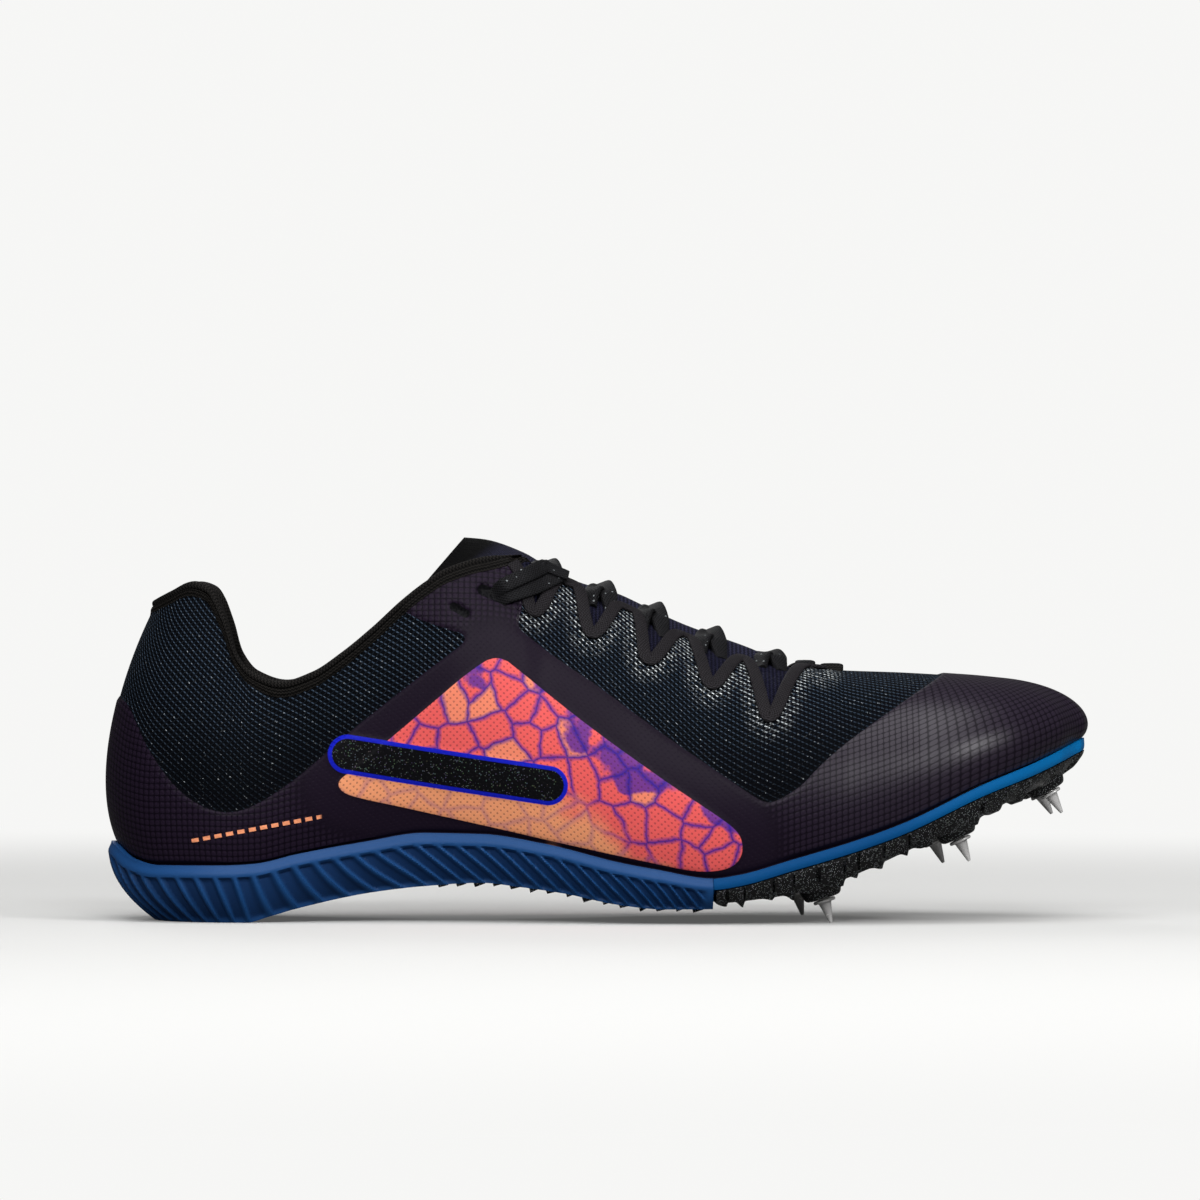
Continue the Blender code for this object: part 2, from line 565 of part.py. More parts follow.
def make_insole(mat):
    """Sock liner that lies on the foot bed inside the upper."""
    paths = np.concatenate([np.linspace(0.0, STATIONS[3, 0], 15),
                            path_at(np.linspace(STATIONS[3, 1], STATIONS[11, 1], 22))[1:],
                            np.linspace(STATIONS[11, 0], STATIONS[-1, 0], 8)[1:]])
    st = stations(paths)
    rings = []
    for side in (-1, 1):
        cup = st["foot" + suffix(side)] + GAP
        edge = cup - WALL - 3 * GAP
        middle, rim = bed(st["x"]), bed(ahead_of(st, cup))
        zero = np.zeros(len(paths))

        def on_bed(reach, lift):
            return (reach, middle + (rim - middle) * reach / cup + GAP + lift)

        columns = [on_bed(zero, INSOLE_THICK), on_bed(0.9 * edge, INSOLE_THICK),
                   on_bed(edge, 0.7 * INSOLE_THICK), on_bed(edge, 0.0), on_bed(zero, 0.0)]
        rings.append(np.stack([place_points(st, side, r, h) for r, h in columns], axis=1))
    grid = around(rings[0], rings[1], True)
    count, rows = grid.shape[:2]
    return add_body("insole", grid.reshape(-1, 3), grid_faces(count, rows, True, False), mat)


def pad_depth(place):
    """Padding inside the collar, thinner towards the throat."""
    return COLLAR_PAD * (1.0 - 0.8 * ease(place, *PAD_FADE))


def make_collar(mat):
    """Padded knit binding that caps the upper's edge and lines the inside below it."""
    paths = upper_paths()
    paths = paths[paths < path_at(COLLAR_END)]
    st = stations(paths)
    sides = []
    for side in (-1, 1):
        rim = st["rim" + suffix(side)]
        tall = collar_height(ahead_of(st, rim))
        pad = pad_depth(st["place"])
        deep = WALL + GAP + pad

        def cap(inward, up):
            reach, height = wall_curve(st, side, np.ones((1, 1)), -inward[:, None])
            return reach[:, 0], height[:, 0] + up

        def lining(v, inward):
            reach, height = wall_curve(st, side, np.full((1, 1), v), -inward[:, None])
            return reach[:, 0], height[:, 0]

        flush = np.zeros(len(paths))
        columns = [cap(flush, GAP), cap(flush - GAP, GAP + 0.6 * tall),
                   cap(0.35 * deep, GAP + tall), cap(0.8 * deep, GAP + 0.75 * tall),
                   cap(deep + GAP, flush + GAP), lining(0.90, deep + GAP), lining(0.78, deep - 0.4 * pad),
                   lining(0.75, flush + WALL + GAP), lining(0.90, flush + WALL + GAP),
                   cap(flush + WALL + GAP, GAP)]
        sides.append(np.stack([place_points(st, side, r, h) for r, h in columns], axis=1))
    grid = np.concatenate([sides[0][::-1], sides[1][1:]])
    return add_strip("collar", grid, mat)


def add_strip(name, grid, mat, crease=35.0):
    """Body from closed sections in a row, with a flat cap at each end."""
    count, rows = grid.shape[:2]
    faces = grid_faces(count, rows, False, True)
    faces.append(tuple(range(rows)))
    faces.append(tuple((count - 1) * rows + j for j in reversed(range(rows))))
    return add_body(name, grid.reshape(-1, 3), faces, mat, crease)


def patch(name, paths, side, low, high, thick, mat):
    """Sheet on the upper between two shares of the wall, at the usual gap over its face.

    Its rows fall on the upper's rows, so that it bends where the wall bends.
    """
    shares, under = facets(side, OVERLAY_GAP)
    over = facets(side, OVERLAY_GAP + thick)[1]
    i, blend = between(paths)
    here = shares[i] * (1 - blend[:, None]) + shares[i + 1] * blend[:, None]
    count = np.arange(shares.shape[1])
    first = np.array([np.interp(v, row, count) for v, row in zip(low, here)])
    last = np.array([np.interp(v, row, count) for v, row in zip(high, here)])
    inner = np.arange(np.floor(first.min()) + 1, np.ceil(last.max()))
    rows = np.clip(inner[None, :], first[:, None], last[:, None])
    rows = np.concatenate([first[:, None], rows, last[:, None]], axis=1)
    grid = np.concatenate([over_facets(over, i, blend, rows),
                           over_facets(under, i, blend, rows)[:, ::-1]], axis=1)
    return add_strip(name, grid, mat)


def make_eyestay(name, side, mat):
    """Webbing that runs down in a loop at each lace bar and back up to the throat's edge."""
    first, last = path_at(EYESTAY_LOOPS[0] + 0.010), path_at(EYESTAY_LOOPS[-1])
    paths = upper_paths()
    paths = np.concatenate([[first], paths[(paths > first + 0.004) & (paths < last - 0.004)], [last]])
    paths = np.sort(np.concatenate([paths, 0.5 * (paths[1:] + paths[:-1])]))
    turn = np.interp(paths, path_at(EYESTAY_LOOPS), np.arange(len(EYESTAY_LOOPS)))
    low = EYESTAY_MIDDLE - EYESTAY_SWING * np.cos(2.0 * np.pi * turn)
    return patch(name, paths, side, low, np.full(len(paths), EYESTAY_TOP), EYESTAY_THICK, mat)


def make_panel(name, side, mat):
    """Printed side panel that lies on the film."""
    paths = upper_paths()
    first, last = path_at(PANEL_LINE[0, 0]), path_at(PANEL_LINE[-1, 0])
    paths = np.concatenate([[first], paths[(paths > first + 0.004) & (paths < last - 0.004)], [last]])
    st = stations(paths)
    v = np.linspace(0.0, 1.0, 41)[None, :]
    height = wall_curve(st, side, v)[1]
    edges = []
    for column in (1, 2):
        z = np.interp(st["place"], PANEL_LINE[:, 0], PANEL_LINE[:, column]) * INSTEP_HEIGHT
        edges.append(np.array([np.interp(e, h, v[0]) for e, h in zip(z, height)]))
    low = np.maximum(edges[0], 0.05)
    high = np.minimum(np.maximum(edges[1], low + 0.02), film_share(st, side) - 0.03)
    return patch(name, paths, side, low, high, PANEL_THICK, mat)


def throat_points(place, t, inward, crown, slant=0.0):
    """Points across the throat, t from -1 on the outer side to 1 on the inner side.

    Past t of a half the line follows the wall below the rim, and between the rims it
    rises to the crown.  inward is measured from the wall's outer face.
    """
    stops = np.array([-1.0, -0.75, -0.5, 0.0, 0.5, 0.75, 1.0])
    shares = {1.0: 0.74, 0.75: 0.88, 0.5: 1.0}
    xs, ys, zs = [], [], []
    for stop in stops:
        at = place + slant(stop)
        st = stations(path_at(at))
        if stop == 0.0:
            xs.append(st["x"])
            ys.append(st["y"])
            zs.append(crown)
            continue
        side = 1 if stop > 0 else -1
        reach, height = wall_curve(st, side, np.full((1, 1), shares[abs(stop)]), -inward(at)[:, None])
        xs.append(st["x"])
        ys.append(st["y"] + side * reach[:, 0])
        zs.append(height[:, 0])
    rows = []
    for x, y, z in zip(np.array(xs).T, np.array(ys).T, np.array(zs).T):
        rows.append(np.stack([smooth(t, stops, x), smooth(t, stops, y), smooth(t, stops, z)], axis=-1))
    return np.array(rows)


def make_tongue(mat):
    """Rib knit tongue under the laces, its rounded end standing above the quarters."""
    places = np.linspace(CROWN_LINE[0, 0], CROWN_LINE[-1, 0] - 0.003, 14)
    lean = TONGUE_LEAN * (1.0 - ease(places, CROWN_LINE[0, 0], 0.450))
    crown = smooth(places, CROWN_LINE[:, 0], CROWN_LINE[:, 1]) * INSTEP_HEIGHT

    def inward(at):
        return WALL + 2 * GAP + (pad_depth(at) + 4 * GAP) * (1.0 - ease(at, 0.42, 0.45))

    t = np.array([-1.0, -0.75, -0.5, -0.3, -0.12, 0.12, 0.3, 0.5, 0.75, 1.0])
    top = throat_points(places, t, inward, crown, lambda stop: -lean * stop * stop)
    along = np.gradient(top[:, :, 1:], axis=1)
    along /= np.linalg.norm(along, axis=2, keepdims=True)
    under = top.copy()
    under[:, :, 1] += along[:, :, 1] * TONGUE_THICK
    under[:, :, 2] -= along[:, :, 0] * TONGUE_THICK
    return add_strip("tongue", np.concatenate([top, under[:, ::-1]], axis=1), mat)


def make_lace_bar(name, place, mat):
    """Flat lace that crosses from one eyestay to the other over the tongue."""
    t = np.linspace(-LACE_REACH, LACE_REACH, 11)
    webbing = EYESTAY_THICK + 2 * GAP if place < EYESTAY_LOOPS[-1] else 0.0
    lift = OVERLAY_GAP + webbing + GAP + 0.5 * LACE_THICK
    at = np.array([place])
    crown = np.maximum(smooth(at, CROWN_LINE[:, 0], CROWN_LINE[:, 1]),
                       smooth(at, TOP_LINE[:, 0], TOP_LINE[:, 1])) * INSTEP_HEIGHT
    crown = crown + GAP + 0.7 * LACE_THICK
    route = throat_points(at, t, lambda spot: np.full(1, -lift), crown, lambda stop: LACE_SLANT * stop)[0]
    along = np.gradient(route, axis=0)
    along /= np.linalg.norm(along, axis=1, keepdims=True)
    x = (place - HEEL_SEAT) * LENGTH
    near = np.array([x - 0.004, x + 0.004])
    fall = np.diff(line(TOP_LINE, near, INSTEP_HEIGHT))[0] / 0.008
    broad = np.array([1.0, 0.0, fall]) - along * (along[:, :1] + fall * along[:, 2:])
    broad /= np.linalg.norm(broad, axis=1, keepdims=True)
    up = np.cross(broad, along)
    wide = 0.5 * LACE_WIDTH * np.array([1.0, 0.6, -0.6, -1.0, -0.6, 0.6])
    high = 0.5 * LACE_THICK * np.array([0.0, 1.0, 1.0, 0.0, -1.0, -1.0])
    grid = route[:, None, :] + wide[None, :, None] * broad[:, None, :] + high[None, :, None] * up[:, None, :]
    return add_strip(name, grid, mat)


def turned(name, profile, mat, sides=14):
    """Round body about its own Z from (radius, height) points, first and last on the axis."""
    angle = np.linspace(0.0, 2.0 * np.pi, sides, endpoint=False)
    points = [(r * np.cos(a), r * np.sin(a), z) for a in angle for r, z in profile]
    return add_body(name, points, grid_faces(sides, len(profile), True, False), mat, 30.0)


def spike_seat(place, aside, stands):
    """Where a spike's flange sits under the plate, and the way it points.

    The spike is square to the plate.  One that stands has its seat at the height
    that puts its tip on the floor.
    """
    x = (place - HEEL_SEAT) * LENGTH
    near = np.array([x - 0.006, x + 0.006])
    low = plate_under(near)
    down = Vector((low[1] - low[0], 0.0, -0.012)).normalized()
    spine = stations(path_at(place))["y"][0]
    z = float(plate_under(x)) - LUG_HEIGHT - BOSS_HEIGHT
    if stands:
        z = -down.z * (GAP + FLANGE_THICK + PIN_LENGTH) + down.x * 0.5 * PIN_TIP
    return Vector((x, spine + aside * BALL_WIDTH, z)), down


def turn_to(way):
    """Rotation that takes +Z to the given way."""
    return way.to_track_quat("Z", "Y").to_matrix().to_4x4()


def make_spikes(plate, plate_mat, steel):
    """Bosses on the plate with blind holes, and the steel spikes screwed into them."""
    for name, place, aside, stands in SPIKES:
        seat, down = spike_seat(place, aside, stands)
        inside = float(plate_under((place - HEEL_SEAT) * LENGTH)) - seat.z + 0.4 * PLATE_WALL
        boss = turned("boss_" + name, [(0.0, -inside), (0.62 * BOSS_WIDTH, -inside),
                                       (0.5 * BOSS_WIDTH, 0.0), (0.0, 0.0)], plate_mat)
        bore = 0.5 * STEM_WIDTH + GAP
        hole = turned("hole_" + name, [(0.0, -STEM_LENGTH - GAP), (bore, -STEM_LENGTH - GAP),
                                       (bore, 0.001), (0.0, 0.001)], plate_mat)
        for cutter, kind in ((boss, "UNION"), (hole, "DIFFERENCE")):
            cutter.matrix_world = Matrix.Translation(seat) @ turn_to(down)
            cutter.hide_render = True
            cutter.display_type = "WIRE"
            join = plate.modifiers.new(cutter.name, "BOOLEAN")
            join.operation = kind
            join.solver = "MANIFOLD"   # the exact solver leaves open edges at the slanted bosses
            join.object = cutter
        base = GAP + FLANGE_THICK
        spike = turned("spike_" + name, [
            (0.0, -STEM_LENGTH), (0.5 * STEM_WIDTH, -STEM_LENGTH), (0.5 * STEM_WIDTH, GAP),
            (0.5 * FLANGE_WIDTH, GAP), (0.5 * FLANGE_WIDTH, base), (0.5 * PIN_BASE, base),
            (0.5 * PIN_TIP, base + PIN_LENGTH), (0.0, base + PIN_LENGTH)], steel, 10)
        spike.location = seat
        spike.rotation_mode = "QUATERNION"
        spike.rotation_quaternion = turn_to(down).to_quaternion()


def main():
    for obj in list(bpy.data.objects):
        bpy.data.objects.remove(obj, do_unlink=True)
    knit = material("upper_mesh", (0.012, 0.016, 0.026), 0.55)
    foam = material("blue_foam", (0.012, 0.060, 0.200), 0.55)
    moulded = material("black_plate", (0.012, 0.012, 0.014), 0.30)
    steel = material("steel", (0.60, 0.60, 0.62), 0.25, 1.0)
    lining = material("collar_knit", (0.018, 0.016, 0.015), 0.85)
    rib = material("tongue_rib", (0.030, 0.030, 0.055), 0.80)
    liner = material("liner_cloth", (0.030, 0.030, 0.035), 0.90)
    webbing = material("charcoal_webbing", (0.026, 0.024, 0.026), 0.80)
    cord = material("lace_weave", (0.010, 0.010, 0.010), 0.80)
    prints = material("printed_panel", (0.900, 0.150, 0.100), 0.60)
    make_upper(knit)
    make_midsole(foam)
    plate = make_plate(moulded)
    make_spikes(plate, moulded, steel)
    make_insole(liner)
    make_collar(lining)
    make_tongue(rib)
    for name, side in (("outer", -1), ("inner", 1)):
        make_eyestay("eyestay_" + name, side, webbing)
        make_panel("side_panel_" + name, side, prints)
    for number, place in enumerate(LACE_BARS, start=1):
        make_lace_bar("lace_bar_%d" % number, place, cord)


main()
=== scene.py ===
# %% [markdown]
# # A track spike shoe, dressed
# The shoe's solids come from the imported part.  This lesson puts finer surfaces and
# finishes over them: mesh and film of the upper, a printed panel, a ribbed foam sole,
# a glittering plate, flat laces and steel spikes.
# Every shape is worked out with numpy as a grid of points over two parameters, because
# a grid gives smooth surfaces, and each point can also carry masks for its finish.

import bmesh
import bpy
import numpy as np
from mathutils import Matrix, Vector


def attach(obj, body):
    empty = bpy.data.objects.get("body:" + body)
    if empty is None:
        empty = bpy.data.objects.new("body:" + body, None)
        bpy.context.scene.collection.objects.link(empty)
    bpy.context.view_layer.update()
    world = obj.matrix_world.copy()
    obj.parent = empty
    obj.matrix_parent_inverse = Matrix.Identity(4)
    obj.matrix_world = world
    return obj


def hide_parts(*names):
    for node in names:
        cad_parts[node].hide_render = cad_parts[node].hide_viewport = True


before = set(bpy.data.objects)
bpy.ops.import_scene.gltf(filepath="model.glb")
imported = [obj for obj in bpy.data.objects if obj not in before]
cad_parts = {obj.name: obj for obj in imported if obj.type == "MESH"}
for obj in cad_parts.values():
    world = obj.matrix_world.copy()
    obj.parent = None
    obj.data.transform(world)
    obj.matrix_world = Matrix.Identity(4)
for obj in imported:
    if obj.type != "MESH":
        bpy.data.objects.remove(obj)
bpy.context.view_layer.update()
print("packed solids:", len(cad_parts))

# %% [markdown]
# ## The last
# A last is the form that a shoe is built on.  It is given here by stations from the
# heel to the toe, each with reaches to both sides, and by lines of the side view.
# The numbers are those of the solids, so that the surfaces lie where the solids lie.

# %% Sizes and tables of the last
LENGTH = 0.283            # back of the heel to the tip of the plate
BALL_WIDTH = 0.092        # across the ball of the foot
HEEL_WIDTH = 0.062        # across the heel
INSTEP_HEIGHT = 0.1048    # top corner of the quarter above the floor
TOE_LIFT = 0.0524         # top of the sole at the toe above the floor
WALL = 0.0018             # upper's wall
FILM = 0.0006             # film laid on the lower part of the wall
LIP_WIDTH = 0.0030        # sole's lip beside the upper
BAND_HEIGHT = 0.0032      # side of the thin foam under the forefoot
CUP_DEPTH = 0.0016        # foot bed below the lip, forefoot
CUP_EXTRA = 0.0034        # how much deeper the foot bed lies at the heel
PLATE_WALL = 0.0024       # spike plate's floor
PLATE_RIM = 0.0042        # spike plate's rim, seen from below
LUG_HEIGHT = 0.0018       # fins under the edge of the plate
TONGUE_THICK = 0.0028
COLLAR_HEIGHT = 0.0026    # padded binding above the upper's edge
COLLAR_PAD = 0.0034       # how thick the padding is inside the collar
LACE_WIDTH = 0.0056
LACE_THICK = 0.0018
PIN_LENGTH = 0.0060       # cone of a spike below its flange
PIN_BASE = 0.0036         # diameter of the cone at its flange
PIN_TIP = 0.0010
FLANGE_WIDTH = 0.0064
FLANGE_THICK = 0.0009
STEM_WIDTH = 0.0034
STEM_LENGTH = 0.0016
BOSS_WIDTH = 0.0100       # round boss that holds a spike
BOSS_HEIGHT = 0.0016
GAP = 0.0003              # clearance between neighbours
TONGUE_LEAN = 0.055       # how far the tongue's corners trail its middle, in lengths
HEEL_SEAT = 0.102         # origin, as a share of the length from the back
STEP_SHARE = 0.618        # where the thick foam ends, as a share of the length
THROAT_SHARE = 0.748      # front end of the throat
THROAT_ROUND = 0.667      # where the throat's rounded front end begins
TOE_DROP = 0.11           # fall of the toe cap's handle ahead of the ridge, share of the wall
PLATE_START = 0.384       # rear end of the plate under the arch
HEEL_END = 0.243          # the width is the heel's up to here
BALL_START = 0.561        # and the ball's from here on
COLLAR_FADE = (0.385, 0.432)   # the binding's height runs out
COLLAR_END = 0.425        # and the binding stops
PAD_FADE = (0.34, 0.43)   # the padding gets thinner
CUP_FADE = 0.30           # the foot bed begins to rise from the heel's cup
TONGUE_SHARE = 0.6        # half width of the plate's tongue, as a share of the sole's
# Station table, in shares.  path: way along the sole's edge, in lengths.  spine:
# place along the length.  fan: the plane's turn from the toe's direction, degrees.
# shift: spine towards the inner side, in ball widths.  The reaches are distances
# from the spine in local widths, outer then inner side: foot at the sole, belly and
# shoulder as handles of the wall's curve, rim at the opening.  rise and drop place
# the two handles as shares of the wall's height.  tuck: how far the sole's side
# runs in under, in local widths.
COLUMNS = ("path", "spine", "fan", "shift", "foot_o", "foot_i", "belly_o", "belly_i",
           "shoulder_o", "shoulder_i", "rim_o", "rim_i", "rise", "drop", "tuck")
STATIONS = np.array([
    (0.000, 0.151, 180, 0.000, 0.621, 0.621, 0.742, 0.742, 0.645, 0.645, 0.460, 0.460, 0.24, 0.34, 0.220),
    (0.067, 0.151, 150, 0.000, 0.580, 0.580, 0.685, 0.685, 0.588, 0.588, 0.425, 0.425, 0.25, 0.34, 0.190),
    (0.134, 0.151, 120, 0.000, 0.508, 0.508, 0.588, 0.588, 0.500, 0.500, 0.370, 0.370, 0.27, 0.34, 0.145),
    (0.198, 0.151, 90, 0.000, 0.460, 0.460, 0.540, 0.540, 0.452, 0.452, 0.347, 0.347, 0.28, 0.35, 0.105),
    (0.290, 0.243, 90, 0.000, 0.420, 0.395, 0.516, 0.500, 0.484, 0.468, 0.403, 0.387, 0.30, 0.35, 0.097),
    (0.396, 0.349, 90, 0.000, 0.387, 0.287, 0.502, 0.445, 0.487, 0.459, 0.344, 0.330, 0.30, 0.30, 0.075),
    (0.449, 0.402, 90, 0.000, 0.387, 0.277, 0.490, 0.438, 0.439, 0.426, 0.271, 0.265, 0.30, 0.28, 0.068),
    (0.502, 0.455, 90, 0.003, 0.398, 0.285, 0.499, 0.428, 0.380, 0.368, 0.180, 0.176, 0.30, 0.18, 0.062),
    (0.608, 0.561, 90, 0.010, 0.440, 0.348, 0.544, 0.478, 0.391, 0.380, 0.138, 0.136, 0.35, 0.10, 0.052),
    (0.714, 0.667, 90, 0.016, 0.473, 0.435, 0.565, 0.522, 0.391, 0.391, 0.098, 0.098, 0.42, 0.05, 0.054),
    (0.802, 0.755, 90, 0.022, 0.467, 0.435, 0.543, 0.511, 0.326, 0.326, 0.000, 0.000, 0.50, 0.00, 0.054),
    (0.873, 0.826, 90, 0.043, 0.440, 0.397, 0.511, 0.467, 0.315, 0.293, 0.000, 0.000, 0.50, 0.00, 0.054),
    (0.926, 0.858, 65, 0.054, 0.386, 0.364, 0.451, 0.429, 0.293, 0.283, 0.000, 0.000, 0.50, 0.00, 0.050),
    (0.979, 0.890, 40, 0.071, 0.301, 0.290, 0.364, 0.353, 0.255, 0.250, 0.000, 0.000, 0.45, 0.00, 0.045),
    (1.032, 0.911, 20, 0.082, 0.249, 0.249, 0.320, 0.320, 0.236, 0.236, 0.000, 0.000, 0.33, 0.00, 0.040),
    (1.085, 0.911, 0, 0.082, 0.249, 0.249, 0.320, 0.320, 0.240, 0.240, 0.000, 0.000, 0.29, 0.00, 0.036),
])
LAST = dict(zip(COLUMNS, STATIONS.T))
REACHES = COLUMNS[4:12] + COLUMNS[-1:]
FAN = 3                   # the stations before this one fan round the heel
PATH_END = LAST["path"][-1]
HAIR = 1e-6               # keeps a step clear of the place where it falls
THROAT_END = THROAT_SHARE - HAIR

# Side view lines: place along the length, height as a share of the size named beside
TOP_LINE = np.array([   # collar, throat and ridge, shares of INSTEP_HEIGHT
    (0.046, 0.874), (0.070, 0.906), (0.092, 0.931), (0.107, 0.919), (0.122, 0.846), (0.137, 0.735),
    (0.153, 0.685), (0.183, 0.659), (0.214, 0.684), (0.244, 0.737), (0.275, 0.806), (0.305, 0.881),
    (0.328, 0.930), (0.352, 0.970), (0.396, 1.000), (0.428, 0.995), (0.448, 0.953), (0.478, 0.915),
    (0.529, 0.855), (0.589, 0.778), (0.651, 0.725), (0.702, 0.697), (0.748, 0.684), (0.808, 0.678),
    (0.854, 0.671), (0.886, 0.665), (0.922, 0.655)])
LIP_LINE = np.array([   # top of the sole's edge, shares of TOE_LIFT
    (0.007, 0.455), (0.016, 0.425), (0.036, 0.345), (0.061, 0.313), (0.130, 0.315), (0.158, 0.324),
    (0.199, 0.374), (0.271, 0.445), (0.327, 0.490), (0.386, 0.485), (0.448, 0.435), (0.524, 0.336),
    (0.562, 0.298), (0.617, 0.252), (0.640, 0.269), (0.698, 0.357), (0.757, 0.452), (0.809, 0.552),
    (0.888, 0.754), (0.948, 0.882), (0.995, 1.000)])
FOAM_LINE = np.array([  # underside of the foam, shares of TOE_LIFT
    (0.057, 0.000), (0.148, 0.000), (0.172, 0.034), (0.199, 0.076), (0.275, 0.164), (0.327, 0.198),
    (0.386, 0.218), (0.422, 0.198), (0.468, 0.164), (0.523, 0.105), (0.568, 0.082), (0.619, 0.084)])
PLATE_LINE = np.array([  # underside of the plate's fins, shares of TOE_LIFT
    (0.384, 0.187), (0.423, 0.172), (0.469, 0.137), (0.522, 0.088), (0.568, 0.074), (0.618, 0.080),
    (0.667, 0.107), (0.702, 0.137), (0.738, 0.191), (0.773, 0.267), (0.808, 0.353), (0.844, 0.439),
    (0.879, 0.521), (0.914, 0.620), (0.950, 0.706), (0.985, 0.830), (1.000, 0.906)])
CROWN_LINE = np.array([  # middle of the tongue, shares of INSTEP_HEIGHT
    (0.349, 1.052), (0.384, 1.045), (0.427, 1.007), (0.448, 0.973), (0.478, 0.930), (0.529, 0.866),
    (0.589, 0.790), (0.651, 0.730), (0.702, 0.676), (0.748, 0.652)])
# Spikes: place along the length, reach from the spine in ball widths (outer side
# negative), and whether the spike's tip stands on the floor.
SPIKES = (
    ("rear_outer", 0.729, -0.300, True),
    ("rear_inner", 0.707, 0.270, True),
    ("mid_outer", 0.866, -0.290, False),
    ("mid_inner", 0.848, 0.260, False),
    ("front_outer", 0.960, -0.135, False),
    ("front_inner", 0.955, 0.105, False),
)
SIDES = ((-1, "outer"), (1, "inner"))
print("stations of the last:", len(STATIONS))

# %% Functions of the last
def ease(at, start, end):
    """Smooth step: 0 before start, 1 past end, level at both."""
    t = np.clip((np.asarray(at, float) - start) / (end - start), 0.0, 1.0)
    return t * t * (3.0 - 2.0 * t)


def smooth(at, xs, ys, level_ends=False):
    """Curve through the points that never overshoots, held level past its ends."""
    at = np.clip(np.asarray(at, float), xs[0], xs[-1])
    step = np.diff(xs)
    rise = np.diff(ys) / step
    slope = np.zeros(len(xs))
    both = rise[:-1] * rise[1:] > 0
    before = 2.0 * step[1:] + step[:-1]
    after = step[1:] + 2.0 * step[:-1]
    inner = np.zeros(len(both))
    inner[both] = (before + after)[both] / (before[both] / rise[:-1][both] + after[both] / rise[1:][both])
    slope[1:-1] = inner
    if not level_ends:
        slope[0], slope[-1] = rise[0], rise[-1]
    i = np.clip(np.searchsorted(xs, at, side="right") - 1, 0, len(step) - 1)
    t = (at - xs[i]) / step[i]
    h = step[i]
    return ((1 + 2 * t) * (1 - t) ** 2 * ys[i] + t * (1 - t) ** 2 * h * slope[i]
            + t * t * (3 - 2 * t) * ys[i + 1] + t * t * (t - 1) * h * slope[i + 1])


def share(x):
    """Place along the length, as a share, of a distance from the origin."""
    return x / LENGTH + HEEL_SEAT


def line(table, x, height):
    """Height of a side view line at a distance from the origin."""
    return smooth(share(x), table[:, 0], table[:, 1]) * height


def lip(x):
    """Top of the sole's edge."""
    return line(LIP_LINE, x, TOE_LIFT)


def bed(x):
    """Foot bed: it lies in the sole, deeper at the heel."""
    return lip(x) - CUP_DEPTH - CUP_EXTRA * (1.0 - ease(share(x), CUP_FADE, STEP_SHARE))


def plate_under(x):
    """Flat underside of the plate, above its fins."""
    return line(PLATE_LINE, x, TOE_LIFT) + LUG_HEIGHT


def plate_floor(x):
    """Upper face of the plate's floor."""
    return plate_under(x) + PLATE_WALL


def collar_height(x):
    """The binding is full height round the heel and runs out at the quarter's top corner."""
    return COLLAR_HEIGHT * (1.0 - ease(share(x), *COLLAR_FADE))


def local_width(place):
    """Width that the station table's reaches are shares of: heel's, then ball's."""
    return HEEL_WIDTH + (BALL_WIDTH - HEEL_WIDTH) * ease(place, HEEL_END, BALL_START)


def path_at(place):
    """Way along the sole's edge of a place along the length, ahead of the heel's fan."""
    return np.interp(place, LAST["spine"][FAN:], LAST["path"][FAN:])


def stations(path):
    """Columns of the station table at ways along the sole's edge, in metres and radians.

    Towards the throat's front end the rim closes as a quarter of an ellipse, the root
    of 1 - t squared.  Ahead of it the shoulder's handle falls away from the ridge.
    """
    path = np.atleast_1d(np.asarray(path, float))
    place = np.interp(path, LAST["path"], LAST["spine"])
    turn = np.radians(np.interp(path, LAST["path"], LAST["fan"]))
    width = local_width(place)

    def column(name, at=path):
        return smooth(at, LAST["path"], LAST[name], True)

    st = {"place": place, "x": (place - HEEL_SEAT) * LENGTH, "y": column("shift") * BALL_WIDTH,
          "ahead": np.cos(turn), "aside": np.sin(turn), "rise": column("rise")}
    for name in REACHES:
        st[name] = column(name) * width
    t = np.clip((place - THROAT_ROUND) / (THROAT_END - THROAT_ROUND), 0.0, 1.0)
    before = np.minimum(path, path_at(THROAT_ROUND))
    for name in ("rim_o", "rim_i"):
        closing = column(name, before) * width * np.sqrt(1.0 - t ** 2)
        st[name] = np.where(place > THROAT_ROUND, closing, st[name])
    fall = TOE_DROP * st["ahead"] * ease(place, THROAT_END, THROAT_SHARE + 0.05)
    st["drop"] = np.where(place > THROAT_END, fall, column("drop"))
    return st


def place_points(st, side, reach, height):
    """World points of reaches and heights in the stations' planes; side -1 outer, +1 inner."""
    shape = np.shape(reach)
    column = (-1,) + (1,) * (len(shape) - 1)
    x = st["x"].reshape(column) + reach * st["ahead"].reshape(column)
    y = st["y"].reshape(column) + side * reach * st["aside"].reshape(column)
    return np.stack([x, y, np.broadcast_to(height, shape)], axis=-1)


def ahead_of(st, reach):
    """Distance along the length of a reach in the stations' planes."""
    return st["x"] + reach * st["ahead"]


def suffix(side):
    """Ending of the station table's columns for a side."""
    return "_o" if side < 0 else "_i"


